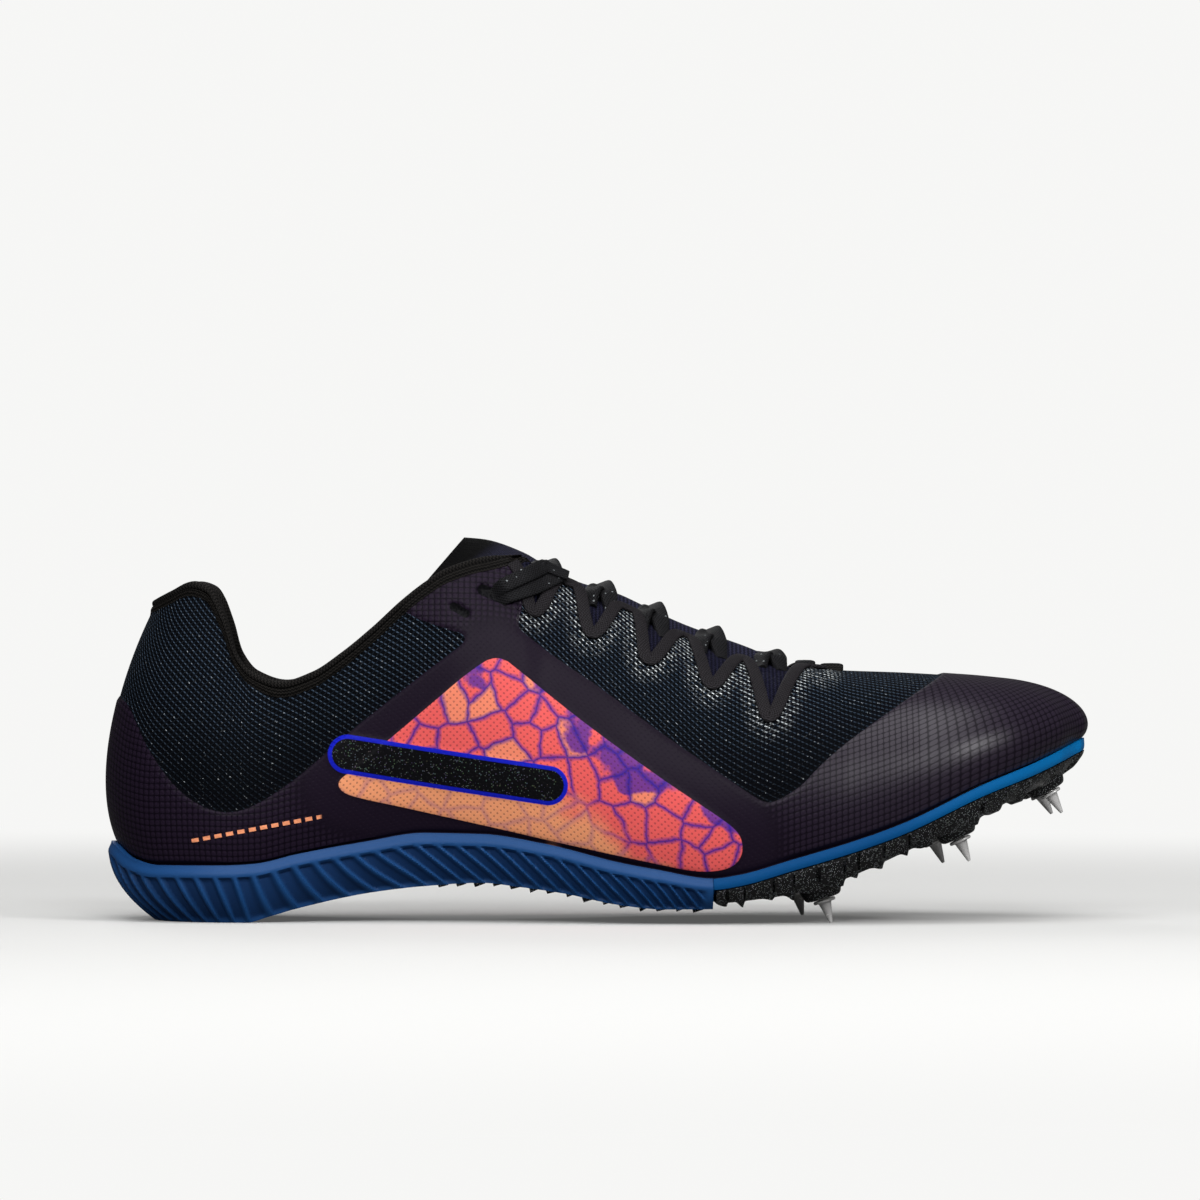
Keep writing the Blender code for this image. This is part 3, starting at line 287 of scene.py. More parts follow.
def wall_curve(st, side, v, offset=0.0):
    """Upper's wall: reach and height at shares v of the way from the sole to the rim.

    Each section is a cubic curve whose two handles are the belly and the shoulder.
    The offset moves it along its own normal, outwards when positive.
    """
    end = suffix(side)
    foot, belly = st["foot" + end][:, None], st["belly" + end][:, None]
    shoulder, rim = st["shoulder" + end][:, None], st["rim" + end][:, None]
    x_foot = st["x"][:, None] + foot * st["ahead"][:, None]
    x_rim = st["x"][:, None] + rim * st["ahead"][:, None]
    z_foot = lip(x_foot)
    z_rim = line(TOP_LINE, x_rim, INSTEP_HEIGHT) - collar_height(x_rim)
    tall = z_rim - z_foot
    z_belly = z_foot + st["rise"][:, None] * tall
    z_shoulder = z_rim - st["drop"][:, None] * tall
    v = np.broadcast_to(v, (len(st["x"]), np.shape(v)[-1]))
    a, b, c, d = (1 - v) ** 3, 3 * v * (1 - v) ** 2, 3 * v * v * (1 - v), v ** 3
    reach = a * foot + b * belly + c * shoulder + d * rim
    height = a * z_foot + b * z_belly + c * z_shoulder + d * z_rim
    da, db, dc = (1 - v) ** 2, 2 * v * (1 - v), v * v
    run = da * (belly - foot) + db * (shoulder - belly) + dc * (rim - shoulder)
    up = da * (z_belly - z_foot) + db * (z_shoulder - z_belly) + dc * (z_rim - z_shoulder)
    up = np.where((rim < 1e-7) & (v > 1.0 - 1e-9), 0.0, up)   # both sides share the ridge
    size = np.hypot(run, up)
    return reach + offset * up / size, height - offset * run / size


def sole_top(st, side):
    """Height of the sole's lip beside the upper: level from its inside to its outside."""
    return lip(ahead_of(st, st["foot" + suffix(side)] + GAP))


def sole_edge(st, side):
    """Reaches at the sole: inside of its lip, outside of its lip, and foot of its side."""
    inside = st["foot" + suffix(side)] + GAP
    outside = inside + LIP_WIDTH * (1.0 - 0.4 * ease(st["place"], 0.55, STEP_SHARE + 0.02))
    return inside, outside, outside - st["tuck"]


def block_edge(st, side):
    """Half width of the foam block that the plate's floor lies against."""
    outside = sole_edge(st, side)[1]
    return np.where(st["place"] > STEP_SHARE, outside - PLATE_RIM, TONGUE_SHARE * outside)


def pad_depth(place):
    """Padding inside the collar, thinner towards the throat."""
    return COLLAR_PAD * (1.0 - 0.8 * ease(place, *PAD_FADE))


# Stops across the throat and how far up the wall each lies; the one in the middle is
# the crown.
THROAT_STOPS = ((-1.0, 0.74), (-0.75, 0.88), (-0.5, 1.0), (0.0, None), (0.5, 1.0), (0.75, 0.88), (1.0, 0.74))


def throat_points(place, t, inward, crown, slant):
    """Points across the throat, t from -1 on the outer side to 1 on the inner side.

    Past t of a half the line follows the wall below the rim, and between the rims it
    rises to the crown.  inward is measured from the wall's outer face, and slant moves
    each stop along the length.
    """
    columns = []
    for stop, up in THROAT_STOPS:
        at = place + slant(stop)
        st = stations(path_at(at))
        y, z = st["y"], crown
        if up:
            side = np.sign(stop)
            reach, height = wall_curve(st, side, np.full((1, 1), up), -inward(at)[:, None])
            y, z = y + side * reach[:, 0], height[:, 0]
        columns.append((st["x"], y, z))
    stops = np.array([stop for stop, _ in THROAT_STOPS])
    return np.array([np.stack([smooth(t, stops, values) for values in place_values], axis=-1)
                     for place_values in np.array(columns).T])


def section_points(st, side, before, face, after):
    """World points of sections: reach and height pairs before and after a face's grid."""
    reaches = [reach for reach, _ in before] + list(face[0].T) + [reach for reach, _ in after]
    heights = [height for _, height in before] + list(face[1].T) + [height for _, height in after]
    return place_points(st, side, np.stack(reaches, axis=1), np.stack(heights, axis=1))


def ring_of(sides):
    """One ring from both sides: heel to toe on the outer side, back on the inner side."""
    return np.concatenate([sides[0], sides[1][-2:0:-1]])


print("ball width, mm:", round(BALL_WIDTH * 1000))

# %% [markdown]
# ## Side view and camera
# Windows, panel and webbing were measured on a level side view.  A camera two metres
# off sees near points a little larger, so each surface point is first moved to where
# the camera sees it.  Then an outline drawn in the side view falls in the right place.

# %% Camera and side view
CAMERA_X, CAMERA_Z = 0.1138, 0.0919
CAMERA_AWAY = 2.2
FRAME_WIDTH = 0.3456

camera = bpy.data.cameras.new("camera")
camera.sensor_width = 36.0
camera.lens = camera.sensor_width * CAMERA_AWAY / FRAME_WIDTH
camera.clip_end = 60.0
camera_object = bpy.data.objects.new("camera", camera)
camera_object.location = (CAMERA_X, -CAMERA_AWAY, CAMERA_Z)
camera_object.rotation_euler = (np.pi / 2, 0.0, 0.0)
bpy.context.scene.collection.objects.link(camera_object)
bpy.context.scene.camera = camera_object


def side_view(points):
    """Place of points in the side view: each grows from the middle as it nears the camera."""
    grow = CAMERA_AWAY / (CAMERA_AWAY - np.abs(points[..., 1]))
    return np.stack([CAMERA_X + (points[..., 0] - CAMERA_X) * grow,
                     CAMERA_Z + (points[..., 2] - CAMERA_Z) * grow], axis=-1)


print("lens, mm:", round(camera.lens, 1))

# %% [markdown]
# ## Outlines
# The heel and the forefoot show open mesh through two windows in a thin film.  A
# printed panel lies between them.  The throat's edge runs in scallops, one for each
# lace hole.  All four are closed outlines of the side view, in millimetres.

# %% Outlines of windows, panel and throat
HEEL_WINDOW = np.array([
    (-33.1, 66.0), (-24.5, 63.9), (-21.7, 61.9), (-17.9, 52.4), (-14.4, 46.1), (-8.6, 38.0),
    (-1.2, 32.3), (6.6, 30.2), (14.1, 32.3), (23.9, 38.6), (31.1, 44.4), (40.9, 53.3), (56.2, 65.4),
    (67.7, 74.3), (77.2, 81.2), (67.7, 84.1), (59.0, 87.3), (51.8, 92.4), (27.4, 109.2), (-33.1, 109.2)])
FORE_WINDOW = np.array([
    (91.0, 82.9), (102.2, 74.3), (113.2, 67.1), (124.1, 58.8), (135.4, 50.7), (146.9, 42.9),
    (157.8, 35.4), (162.1, 33.1), (167.0, 35.1), (172.2, 38.6), (177.1, 44.1), (185.5, 51.3),
    (195.3, 58.2), (203.3, 63.9), (212.3, 70.0), (218.9, 76.0), (224.6, 103.4), (93.6, 114.9),
    (91.9, 91.9), (90.1, 85.0)])
PANEL = np.array([
    (84.4, 76.3), (92.0, 70.3), (102.2, 61.9), (113.8, 53.0), (124.7, 45.2), (135.8, 37.4),
    (146.9, 30.2), (152.9, 25.9), (154.9, 22.5), (154.7, 18.1), (151.8, 15.0), (146.0, 13.8),
    (139.7, 14.1), (130.2, 16.1), (119.5, 18.4), (102.2, 22.2), (85.0, 26.2), (70.6, 29.4),
    (56.7, 32.5), (42.3, 35.4), (38.9, 37.2), (38.3, 39.7), (41.2, 42.0), (46.9, 46.7),
    (53.9, 52.4), (64.8, 61.6), (76.3, 71.4)])
THROAT_EDGE = np.array([
    (87.8, 103.4), (91.9, 98.2), (93.0, 91.3), (94.5, 87.6), (96.8, 89.0), (99.6, 94.8),
    (102.2, 98.8), (105.4, 98.8), (108.3, 94.2), (109.7, 84.7), (111.2, 81.2), (113.8, 82.7),
    (117.2, 88.4), (119.8, 91.6), (123.3, 90.7), (125.6, 85.5), (126.4, 76.0), (127.6, 73.4),
    (130.2, 75.2), (133.9, 80.4), (136.8, 83.2), (140.3, 81.8), (143.1, 74.0), (144.9, 67.1),
    (146.6, 66.5), (149.5, 70.6), (153.2, 75.2), (156.4, 74.9), (159.0, 68.8), (161.3, 59.0),
    (162.7, 56.7), (165.0, 60.8), (168.2, 68.3), (171.4, 72.9), (174.8, 73.7), (178.3, 72.3)])
BAR_ENDS = np.array([(41.0, 47.5), (99.0, 38.5)]) / 1000
BAR_RADIUS = 0.0056
SLOT_ENDS = np.array([(71.6, 90.0), (75.2, 87.9)]) / 1000
SLOT_RADIUS = 0.0012
TOP_HOLE_ENDS = np.array([(80.0, 94.8), (85.0, 92.6)]) / 1000
TOP_HOLE_RADIUS = 0.0016
DASH_LINE = np.array([(-3.5, 22.6), (33.5, 29.6)]) / 1000
DASH_PITCH = 0.0033
TONE_LINE = np.array([(84.4, 76.3), (152.9, 25.9)]) / 1000   # the print is coral near it
OVER_THROAT = [(0.190, 0.130), (0.088, 0.130)]   # closes the scalloped edge above the shoe


def soften(outline, closed=True, times=2):
    """Corners cut twice: each side keeps the points a quarter and three quarters along it."""
    for _ in range(times):
        ahead = np.roll(outline, -1, axis=0)
        cut = np.stack([0.75 * outline + 0.25 * ahead, 0.25 * outline + 0.75 * ahead], axis=1)
        cut = cut.reshape(-1, 2)
        outline = cut if closed else np.concatenate([outline[:1], cut[:-2], outline[-1:]])
    return outline


def inside(points, outline):
    """Distance to the nearest side of a closed outline, positive where crossings are odd."""
    flat = points.reshape(-1, 2)
    near = np.full(len(flat), 1.0)
    odd = np.zeros(len(flat), bool)
    for a, b in zip(outline, np.roll(outline, -1, axis=0)):
        way = b - a
        t = np.clip((flat - a) @ way / (way @ way), 0.0, 1.0)
        near = np.minimum(near, np.hypot(*(flat - a - t[:, None] * way).T))
        crossed = (a[1] > flat[:, 1]) != (b[1] > flat[:, 1])
        at = a[0] + (flat[:, 1] - a[1]) * way[0] / (way[1] if way[1] else 1.0)
        odd ^= crossed & (flat[:, 0] < at)
    return np.where(odd, near, -near).reshape(points.shape[:-1])


def capsule(points, ends, radius):
    """Depth inside a round-ended bar: its radius less the distance to its middle line."""
    way = ends[1] - ends[0]
    t = np.clip((points - ends[0]) @ way / (way @ way), 0.0, 1.0)
    return radius - np.linalg.norm(points - ends[0] - t[..., None] * way, axis=-1)


def beside(points, ends):
    """Way along a straight line from its first end, and distance to the left of it."""
    way = (ends[1] - ends[0]) / np.hypot(*(ends[1] - ends[0]))
    return (points - ends[0]) @ way, (points - ends[0]) @ np.array([-way[1], way[0]])


heel_window, fore_window, panel_outline = [soften(o) / 1000 for o in (HEEL_WINDOW, FORE_WINDOW, PANEL)]
throat_edge = soften(THROAT_EDGE, closed=False) / 1000
throat_outline = np.concatenate([throat_edge, OVER_THROAT])
print("outline points:", len(heel_window), len(fore_window), len(panel_outline), len(throat_edge))

# %% [markdown]
# ## From grids to meshes
# A piece is a grid of points, so many stations by so many rows.  Neighbours make
# quads.  Points that meet are merged, so that the shading runs on across them.

# %% Mesh helpers
def grid_quads(count, rows, wrap_count=False, wrap_rows=False):
    """Corner numbers of the quads between neighbouring stations and rows."""
    i, j = np.meshgrid(np.arange(count if wrap_count else count - 1),
                       np.arange(rows if wrap_rows else rows - 1), indexing="ij")
    n, m = (i + 1) % count, (j + 1) % rows
    return np.stack([i * rows + j, n * rows + j, n * rows + m, i * rows + m], axis=-1).reshape(-1, 4)


def add_piece(name, points, quads, mat, stands_for=(), attributes=None, crease=40.0):
    """Object of one mesh with attributes on its points, riding on the part's only body."""
    mesh = bpy.data.meshes.new(name)
    mesh.from_pydata(points.reshape(-1, 3).tolist(), [], quads.tolist())
    for key, values in (attributes or {}).items():
        vector = values.shape[-1:] == (3,) and values.ndim == points.ndim
        layer = mesh.attributes.new(key, "FLOAT_VECTOR" if vector else "FLOAT", "POINT")
        layer.data.foreach_set("vector" if vector else "value", values.astype(np.float32).ravel())
    bm = bmesh.new()
    bm.from_mesh(mesh)
    bmesh.ops.remove_doubles(bm, verts=bm.verts, dist=1e-6)
    bmesh.ops.dissolve_degenerate(bm, edges=bm.edges, dist=1e-7)
    bmesh.ops.recalc_face_normals(bm, faces=bm.faces)
    bm.to_mesh(mesh)
    bm.free()
    mesh.shade_smooth()
    mesh.set_sharp_from_angle(angle=np.radians(crease))
    mesh.materials.append(mat)
    piece = bpy.data.objects.new(name, mesh)
    bpy.context.scene.collection.objects.link(piece)
    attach(piece, "root")
    if stands_for:
        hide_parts(*stands_for)
    mesh.calc_loop_triangles()
    print(name, "triangles:", len(mesh.loop_triangles))
    return piece


def arc(points, axis):
    """Distance run along a grid's rows or stations, from zero."""
    steps = np.linalg.norm(np.diff(points, axis=axis), axis=-1)
    start = np.zeros_like(np.take(steps, [0], axis=axis))
    return np.concatenate([start, np.cumsum(steps, axis=axis)], axis=axis)


def add_tube(name, grid, mat, stands_for=()):
    """Closed sections in a row, drawn to a point at each end, with way along and round."""
    ends = grid[[0, -1]].mean(axis=1, keepdims=True) * np.ones_like(grid[[0, -1]])
    grid = np.concatenate([ends[:1], grid, ends[1:]])
    along = arc(grid.mean(axis=1), 0)[:, None] * np.ones(grid.shape[:2])
    cloth = np.stack([along, arc(grid, 1), np.zeros(grid.shape[:2])], axis=-1)
    quads = grid_quads(*grid.shape[:2], wrap_rows=True)
    return add_piece(name, grid, quads, mat, stands_for, {"cloth": cloth})


# %% [markdown]
# ## Finishes
# Mesh, embossing, glitter and knit come back in several materials.  Each is built once
# as a shader node group with named inputs, and each material gives its own values.
# Sums of sockets are written as sums: a wire holds a socket, and adding or multiplying
# wires adds the math node that does it.

# %% Node helpers
class Wire:
    """A socket that takes part in sums: each operator adds a math node."""

    def __init__(self, graph, socket):
        self.graph, self.socket = graph, socket

    def __add__(self, other):
        return self.graph.math("ADD", self, other)

    def __sub__(self, other):
        return self.graph.math("SUBTRACT", self, other)

    def __rsub__(self, other):
        return self.graph.math("SUBTRACT", other, self)

    def __mul__(self, other):
        return self.graph.math("MULTIPLY", self, other)

    def __truediv__(self, other):
        return self.graph.math("DIVIDE", self, other)

    def __abs__(self):
        return self.graph.math("ABSOLUTE", self)


class Graph:
    """Adds nodes to one material or group; wires and sockets link, plain values are set."""

    def __init__(self, tree):
        self.tree = tree
        self.shader = tree.nodes.get("Principled BSDF")

    def put(self, value, socket):
        value = getattr(value, "socket", value)
        if isinstance(value, bpy.types.NodeSocket):
            self.tree.links.new(value, socket)
        else:
            socket.default_value = value

    def add(self, kind, inputs=None, **settings):
        node = self.tree.nodes.new(kind)
        for key, value in settings.items():
            setattr(node, key, value)
        for key, value in (inputs or {}).items():
            self.put(value, node.inputs[key])
        return node

    def wire(self, kind, inputs=None, output=0, **settings):
        """One output of a new node."""
        return Wire(self, self.add(kind, inputs, **settings).outputs[output])

    def math(self, operation, a, b=0.0):
        return self.wire("ShaderNodeMath", {0: a, 1: b}, operation=operation)

    def ramp(self, value, low, high, start=0.0, end=1.0, kind="SMOOTHSTEP"):
        """Value carried from one range to another, held past its ends."""
        inputs = {0: value, 1: low, 2: high, 3: start, 4: end}
        return self.wire("ShaderNodeMapRange", inputs, interpolation_type=kind)

    def mix(self, factor, a, b):
        return self.wire("ShaderNodeMix", {0: factor, 6: a, 7: b}, 2, data_type="RGBA")

    def split(self, value, kind="XYZ"):
        """Three parts of a vector, or with the kind Color of a colour."""
        return [Wire(self, part) for part in self.add("ShaderNodeSeparate" + kind, {0: value}).outputs]

    def attribute(self, name, kind="Fac"):
        return self.wire("ShaderNodeAttribute", None, kind, attribute_name=name)

    def position(self):
        return self.wire("ShaderNodeTexCoord", None, "Object")

    def group(self, name, **inputs):
        """All outputs of a shared group."""
        node = self.add("ShaderNodeGroup", inputs, node_tree=bpy.data.node_groups[name])
        return [Wire(self, socket) for socket in node.outputs]

    def grain(self, scale):
        return self.group("grain", Point=self.position(), Scale=scale)[0]

    def shade(self, relief=None, **inputs):
        """Feeds the shader its named inputs, and a relief in metres as bumps."""
        for key, value in inputs.items():
            self.put(value, self.shader.inputs[key.replace("_", " ")])
        if relief is not None:
            bumps = self.wire("ShaderNodeBump", {"Strength": 1.0, "Distance": 1.0, "Height": relief})
            self.put(bumps, self.shader.inputs["Normal"])


def new_group(name, inputs, outputs):
    """Empty group; its sockets are named in a row, and are floats unless a kind follows."""
    tree = bpy.data.node_groups.new(name, "ShaderNodeTree")
    for words, way in ((inputs, "INPUT"), (outputs, "OUTPUT")):
        for word in words.split():
            key, _, kind = word.partition(":")
            tree.interface.new_socket(key, in_out=way, socket_type="NodeSocket" + (kind or "Float"))
    graph = Graph(tree)
    given = {socket.name: Wire(graph, socket) for socket in graph.add("NodeGroupInput").outputs}
    return graph, given, graph.add("NodeGroupOutput").inputs


def new_material(name, **constants):
    """Material with one Principled shader and its constants, and the graph that feeds it."""
    mat = bpy.data.materials.new(name)
    mat.use_nodes = True
    graph = Graph(mat.node_tree)
    graph.shade(**constants)
    return mat, graph


# %% [markdown]
# ### Net, emboss, knit, glitter, cells and grain
# A net is two crossing families of lines.  A sine of the distance across a family is
# zero on its lines, so the smaller of two sines is zero on the net.  Ticks are the
# lines of one family, left out where they run under the other.  Embossing and knit
# ribs are products and sums of sines.  Glitter lights a few cells of a fine random
# pattern, and the print's veins are the borders of a coarse one.

# %% Shared node groups
NET_STEEP = 1.25     # how much steeper than 45 degrees the net's lines run
FULL_LINE = 0.4      # share of a line's half width that is full thread

graph, given, out = new_group("diamond_net", "Cloth:Vector Pitch Line", "Thread Tick")
u, v, _ = graph.split(given["Cloth"])
waves = [abs(graph.math("SINE", across / given["Pitch"] * np.pi))
         for across in (u + v * NET_STEEP, u - v * NET_STEEP)]
threads, one_way = [graph.ramp(wave, given["Line"] * FULL_LINE, given["Line"], 1.0, 0.0, "LINEAR")
                    for wave in (graph.math("MINIMUM", *waves), waves[0])]
graph.put(threads, out["Thread"])
graph.put(one_way * graph.ramp(waves[1], 0.50, 0.75), out["Tick"])

graph, given, out = new_group("emboss", "Cloth:Vector Pitch", "Relief")
waves = [graph.math("SINE", part / given["Pitch"] * (2 * np.pi)) for part in graph.split(given["Cloth"])[:2]]
graph.put(waves[0] * waves[1], out["Relief"])

graph, given, out = new_group("knit_ribs", "Along Across Pitch", "Relief")
turn, stitch = [given[key] / given["Pitch"] * (2 * np.pi) for key in ("Along", "Across")]
graph.put(graph.math("SINE", turn + graph.math("SINE", stitch)) * 0.5 + 0.5, out["Relief"])

graph, given, out = new_group("glitter", "Point:Vector Scale Share", "Fleck Tint:Color")
cell = graph.add("ShaderNodeTexVoronoi", {"Vector": given["Point"], "Scale": given["Scale"]})
lit = graph.math("LESS_THAN", graph.split(cell.outputs["Color"], "Color")[0], given["Share"])
graph.put(lit * graph.math("LESS_THAN", cell.outputs["Distance"], 0.42), out["Fleck"])
graph.put(cell.outputs["Color"], out["Tint"])

graph, given, out = new_group("crackle", "Cloth:Vector Scale Width", "Vein Cell")
bend = graph.wire("ShaderNodeTexNoise", {"Vector": given["Cloth"], "Scale": 180.0, "Detail": 2.0}, "Color")
shift = graph.wire("ShaderNodeVectorMath", {0: bend, "Scale": 0.0025}, operation="SCALE")
bent = graph.wire("ShaderNodeVectorMath", {0: given["Cloth"], 1: shift}, operation="ADD")
edge, whole = [graph.add("ShaderNodeTexVoronoi", {"Vector": bent, "Scale": given["Scale"]}, feature=feature,
                         voronoi_dimensions="2D").outputs for feature in ("DISTANCE_TO_EDGE", "F1")]
graph.put(graph.ramp(edge["Distance"], 0.0, given["Width"], 1.0, 0.0, "LINEAR"), out["Vein"])
graph.put(graph.split(whole["Color"], "Color")[1], out["Cell"])

graph, given, out = new_group("grain", "Point:Vector Scale", "Value")
noise = {"Vector": given["Point"], "Scale": given["Scale"], "Detail": 4.0}
graph.put(graph.wire("ShaderNodeTexNoise", noise, "Fac"), out["Value"])
print("node groups:", len(bpy.data.node_groups))

# %% [markdown]
# ## The upper's finish
# Film, mesh, print, bar and lace holes are one cloth on the real shoe: layers pressed
# together.  So it is one material.  Depth inside each outline is stored on the points,
# and where it passes zero the next layer's colour begins, which gives crisp edges.

# %% Upper material
# The film's darker groove plum is painted shade.
PLUM, PLUM_GROOVE_SHADE = (0.0150, 0.0092, 0.0200, 1.0), (0.0048, 0.0028, 0.0068, 1.0)
HOLE = (0.0005, 0.0008, 0.0018, 1.0)
# The lower thread colour is painted shade, and the glint colour is a painted highlight.
THREAD, THREAD_SHADED_LOW = (0.0420, 0.0640, 0.0980, 1.0), (0.0080, 0.0120, 0.0180, 1.0)
GLINT = (0.84, 0.90, 0.92, 1.0)
CORAL, TAN, MAUVE = (0.82, 0.115, 0.11, 1.0), (0.90, 0.35, 0.17, 1.0), (0.17, 0.04, 0.26, 1.0)
VEIN, PINHOLE = (0.035, 0.016, 0.27, 1.0), (0.10, 0.02, 0.03, 1.0)
EDGING, SPARKLE = (0.007, 0.013, 0.46, 1.0), (0.34, 0.27, 0.26, 1.0)
INK, LINING = (0.004, 0.004, 0.005, 1.0), (0.010, 0.010, 0.012, 1.0)
RIB, RIB_LOW = (0.013, 0.013, 0.030, 1.0), (0.004, 0.004, 0.009, 1.0)
BIND, BIND_LOW = (0.0140, 0.0125, 0.0115, 1.0), (0.0020, 0.0020, 0.0020, 1.0)
ORANGE = (0.98, 0.36, 0.18, 1.0)
SEAM = 0.0001                       # half width of the step from one layer's colour to the next
NET_PITCH, WAFFLE_PITCH, PIN_PITCH = 0.0023, 0.0034, 0.0019
EDGING_WIDTH = 0.0012
DASH_SHARE, DASH_HALF = 0.62, 0.00055
MESH_ROUGH, FILM_ROUGH = 0.83, 0.38

upper_mat, graph = new_material("upper_cloth", Specular_IOR_Level=0.05, Coat_Roughness=0.38)
cloth = graph.attribute("cloth", "Vector")
along, up, _ = graph.split(cloth)
depths = [graph.attribute(name) for name in ("panel", "bar", "notch", "binding", "slot")]
panel_depth, bar_depth, notch_depth, bind_depth, _ = depths
panel, bar, notch, binding, slot = [graph.ramp(depth, -SEAM, SEAM) for depth in depths]
window = graph.ramp(graph.attribute("window"), -1.5 * SEAM, 1.5 * SEAM)
film = 1.0 - window

# Mesh: threads over dark holes; painted shade makes them darker lower down, painted highlights glint beside
# the scallops and in specks, and one family's ticks are painted brighter as highlights
net, tick = graph.group("diamond_net", Cloth=cloth, Pitch=NET_PITCH, Line=0.52)
glow = graph.ramp(notch_depth, -0.0075, -0.0010) * graph.ramp(graph.grain(900.0), 0.42, 0.58)
spark = graph.ramp(graph.grain(1400.0), 0.62, 0.70) * 0.35
thread = graph.mix(graph.ramp(up, 0.018, 0.055), THREAD_SHADED_LOW, THREAD)
thread = graph.mix(graph.math("MAXIMUM", glow, spark), thread, GLINT)
mesh_color = graph.mix(tick, graph.mix(net * 0.12, HOLE, thread), thread)

# Film: raised squares, which fade out near the panel; a darker plum in the grooves between them is painted
# shade
near_panel = graph.ramp(panel_depth, -0.018, -0.006)
waffle = abs(graph.group("emboss", Cloth=cloth, Pitch=WAFFLE_PITCH)[0]) * (1.0 - near_panel)
raised = graph.ramp(waffle, 0.0, 0.5)
film_color = graph.mix(graph.math("MAXIMUM", raised, near_panel * 0.6), PLUM_GROOVE_SHADE, PLUM)

# Print: coral to tan away from the tone line, some tan cells, mauve at the line, veins, pinholes
tone = graph.attribute("tone") + graph.grain(70.0) * 0.030 - 0.015
vein, cell = graph.group("crackle", Cloth=cloth, Scale=122.0, Width=0.14)
print_color = graph.mix(graph.ramp(tone, 0.016, 0.030), CORAL, TAN)
print_color = graph.mix(graph.math("GREATER_THAN", cell, 0.72) * 0.55, print_color, TAN)
print_color = graph.mix(graph.ramp(tone, 0.0024, 0.0001), print_color, MAUVE)
print_color = graph.mix(vein * graph.ramp(tone, 0.012, 0.026, 0.95, 0.30), print_color, VEIN)
pin = graph.ramp(graph.group("emboss", Cloth=cloth, Pitch=PIN_PITCH)[0], 0.45, 0.75)
print_color = graph.mix(pin * 0.45, print_color, PINHOLE)

# Bar, dashes, and the knit in the scallops and along the binding
fleck, tint = graph.group("glitter", Point=graph.position(), Scale=2600.0, Share=0.20)
bar_color = graph.mix(fleck * 0.26, INK, graph.mix(0.7, tint, SPARKLE))
bar_color = graph.mix(graph.ramp(bar_depth, EDGING_WIDTH - SEAM, EDGING_WIDTH + SEAM), EDGING, bar_color)
dash_at, dash_off, dash_side = graph.split(graph.attribute("dash", "Vector"))
dashes = (graph.math("LESS_THAN", graph.math("FRACT", dash_at), DASH_SHARE)
          * graph.math("LESS_THAN", abs(dash_off), DASH_HALF) * dash_side)
ribs, = graph.group("knit_ribs", Along=along, Across=up, Pitch=0.0011)
stitch, = graph.group("knit_ribs", Along=bind_depth, Across=along, Pitch=0.0009)

color = graph.mix(window, film_color, mesh_color)
for mask, layer in ((panel, print_color), (bar, bar_color), (dashes, ORANGE),
                    (notch, graph.mix(ribs, RIB_LOW, RIB)), (binding, graph.mix(stitch, BIND_LOW, BIND)),
                    (slot, INK), (graph.attribute("lining"), LINING)):
    color = graph.mix(mask, color, layer)
toe_cap = graph.ramp(graph.split(graph.position())[0], 0.150, 0.215, 0.0, 0.75) * film
rough = window * (MESH_ROUGH - FILM_ROUGH) + FILM_ROUGH - glow * 0.50
relief = (waffle * film * 0.00010 + net * window * 0.00016 + ribs * notch * 0.00030
          + stitch * binding * 0.00020 - pin * 0.00005)
graph.shade(relief, Base_Color=color, Roughness=rough + graph.math("MAXIMUM", notch, binding) * 0.30,
            Coat_Weight=toe_cap * (raised * 0.65 + 0.35))
print("upper material nodes:", len(upper_mat.node_tree.nodes))

# %% [markdown]
# ## The upper
# The wall is a sheet a little under two millimetres thick that follows the last.  Each
# station's section is a cubic curve from the sole to the rim.  The film lifts the face
# by its own thickness, and inside the scallops the face sinks to the tongue.

# %% Upper surface
BINDING = 0.0026          # stitched band below the collar
BINDING_LIFT = 0.0006
PRINT_LIFT = 0.0003       # panel over the cloth, and bar over the panel
SINK = 0.0012             # depth of the scallops and lace holes
STEP = 0.0005             # half width of the slope at the film's edge


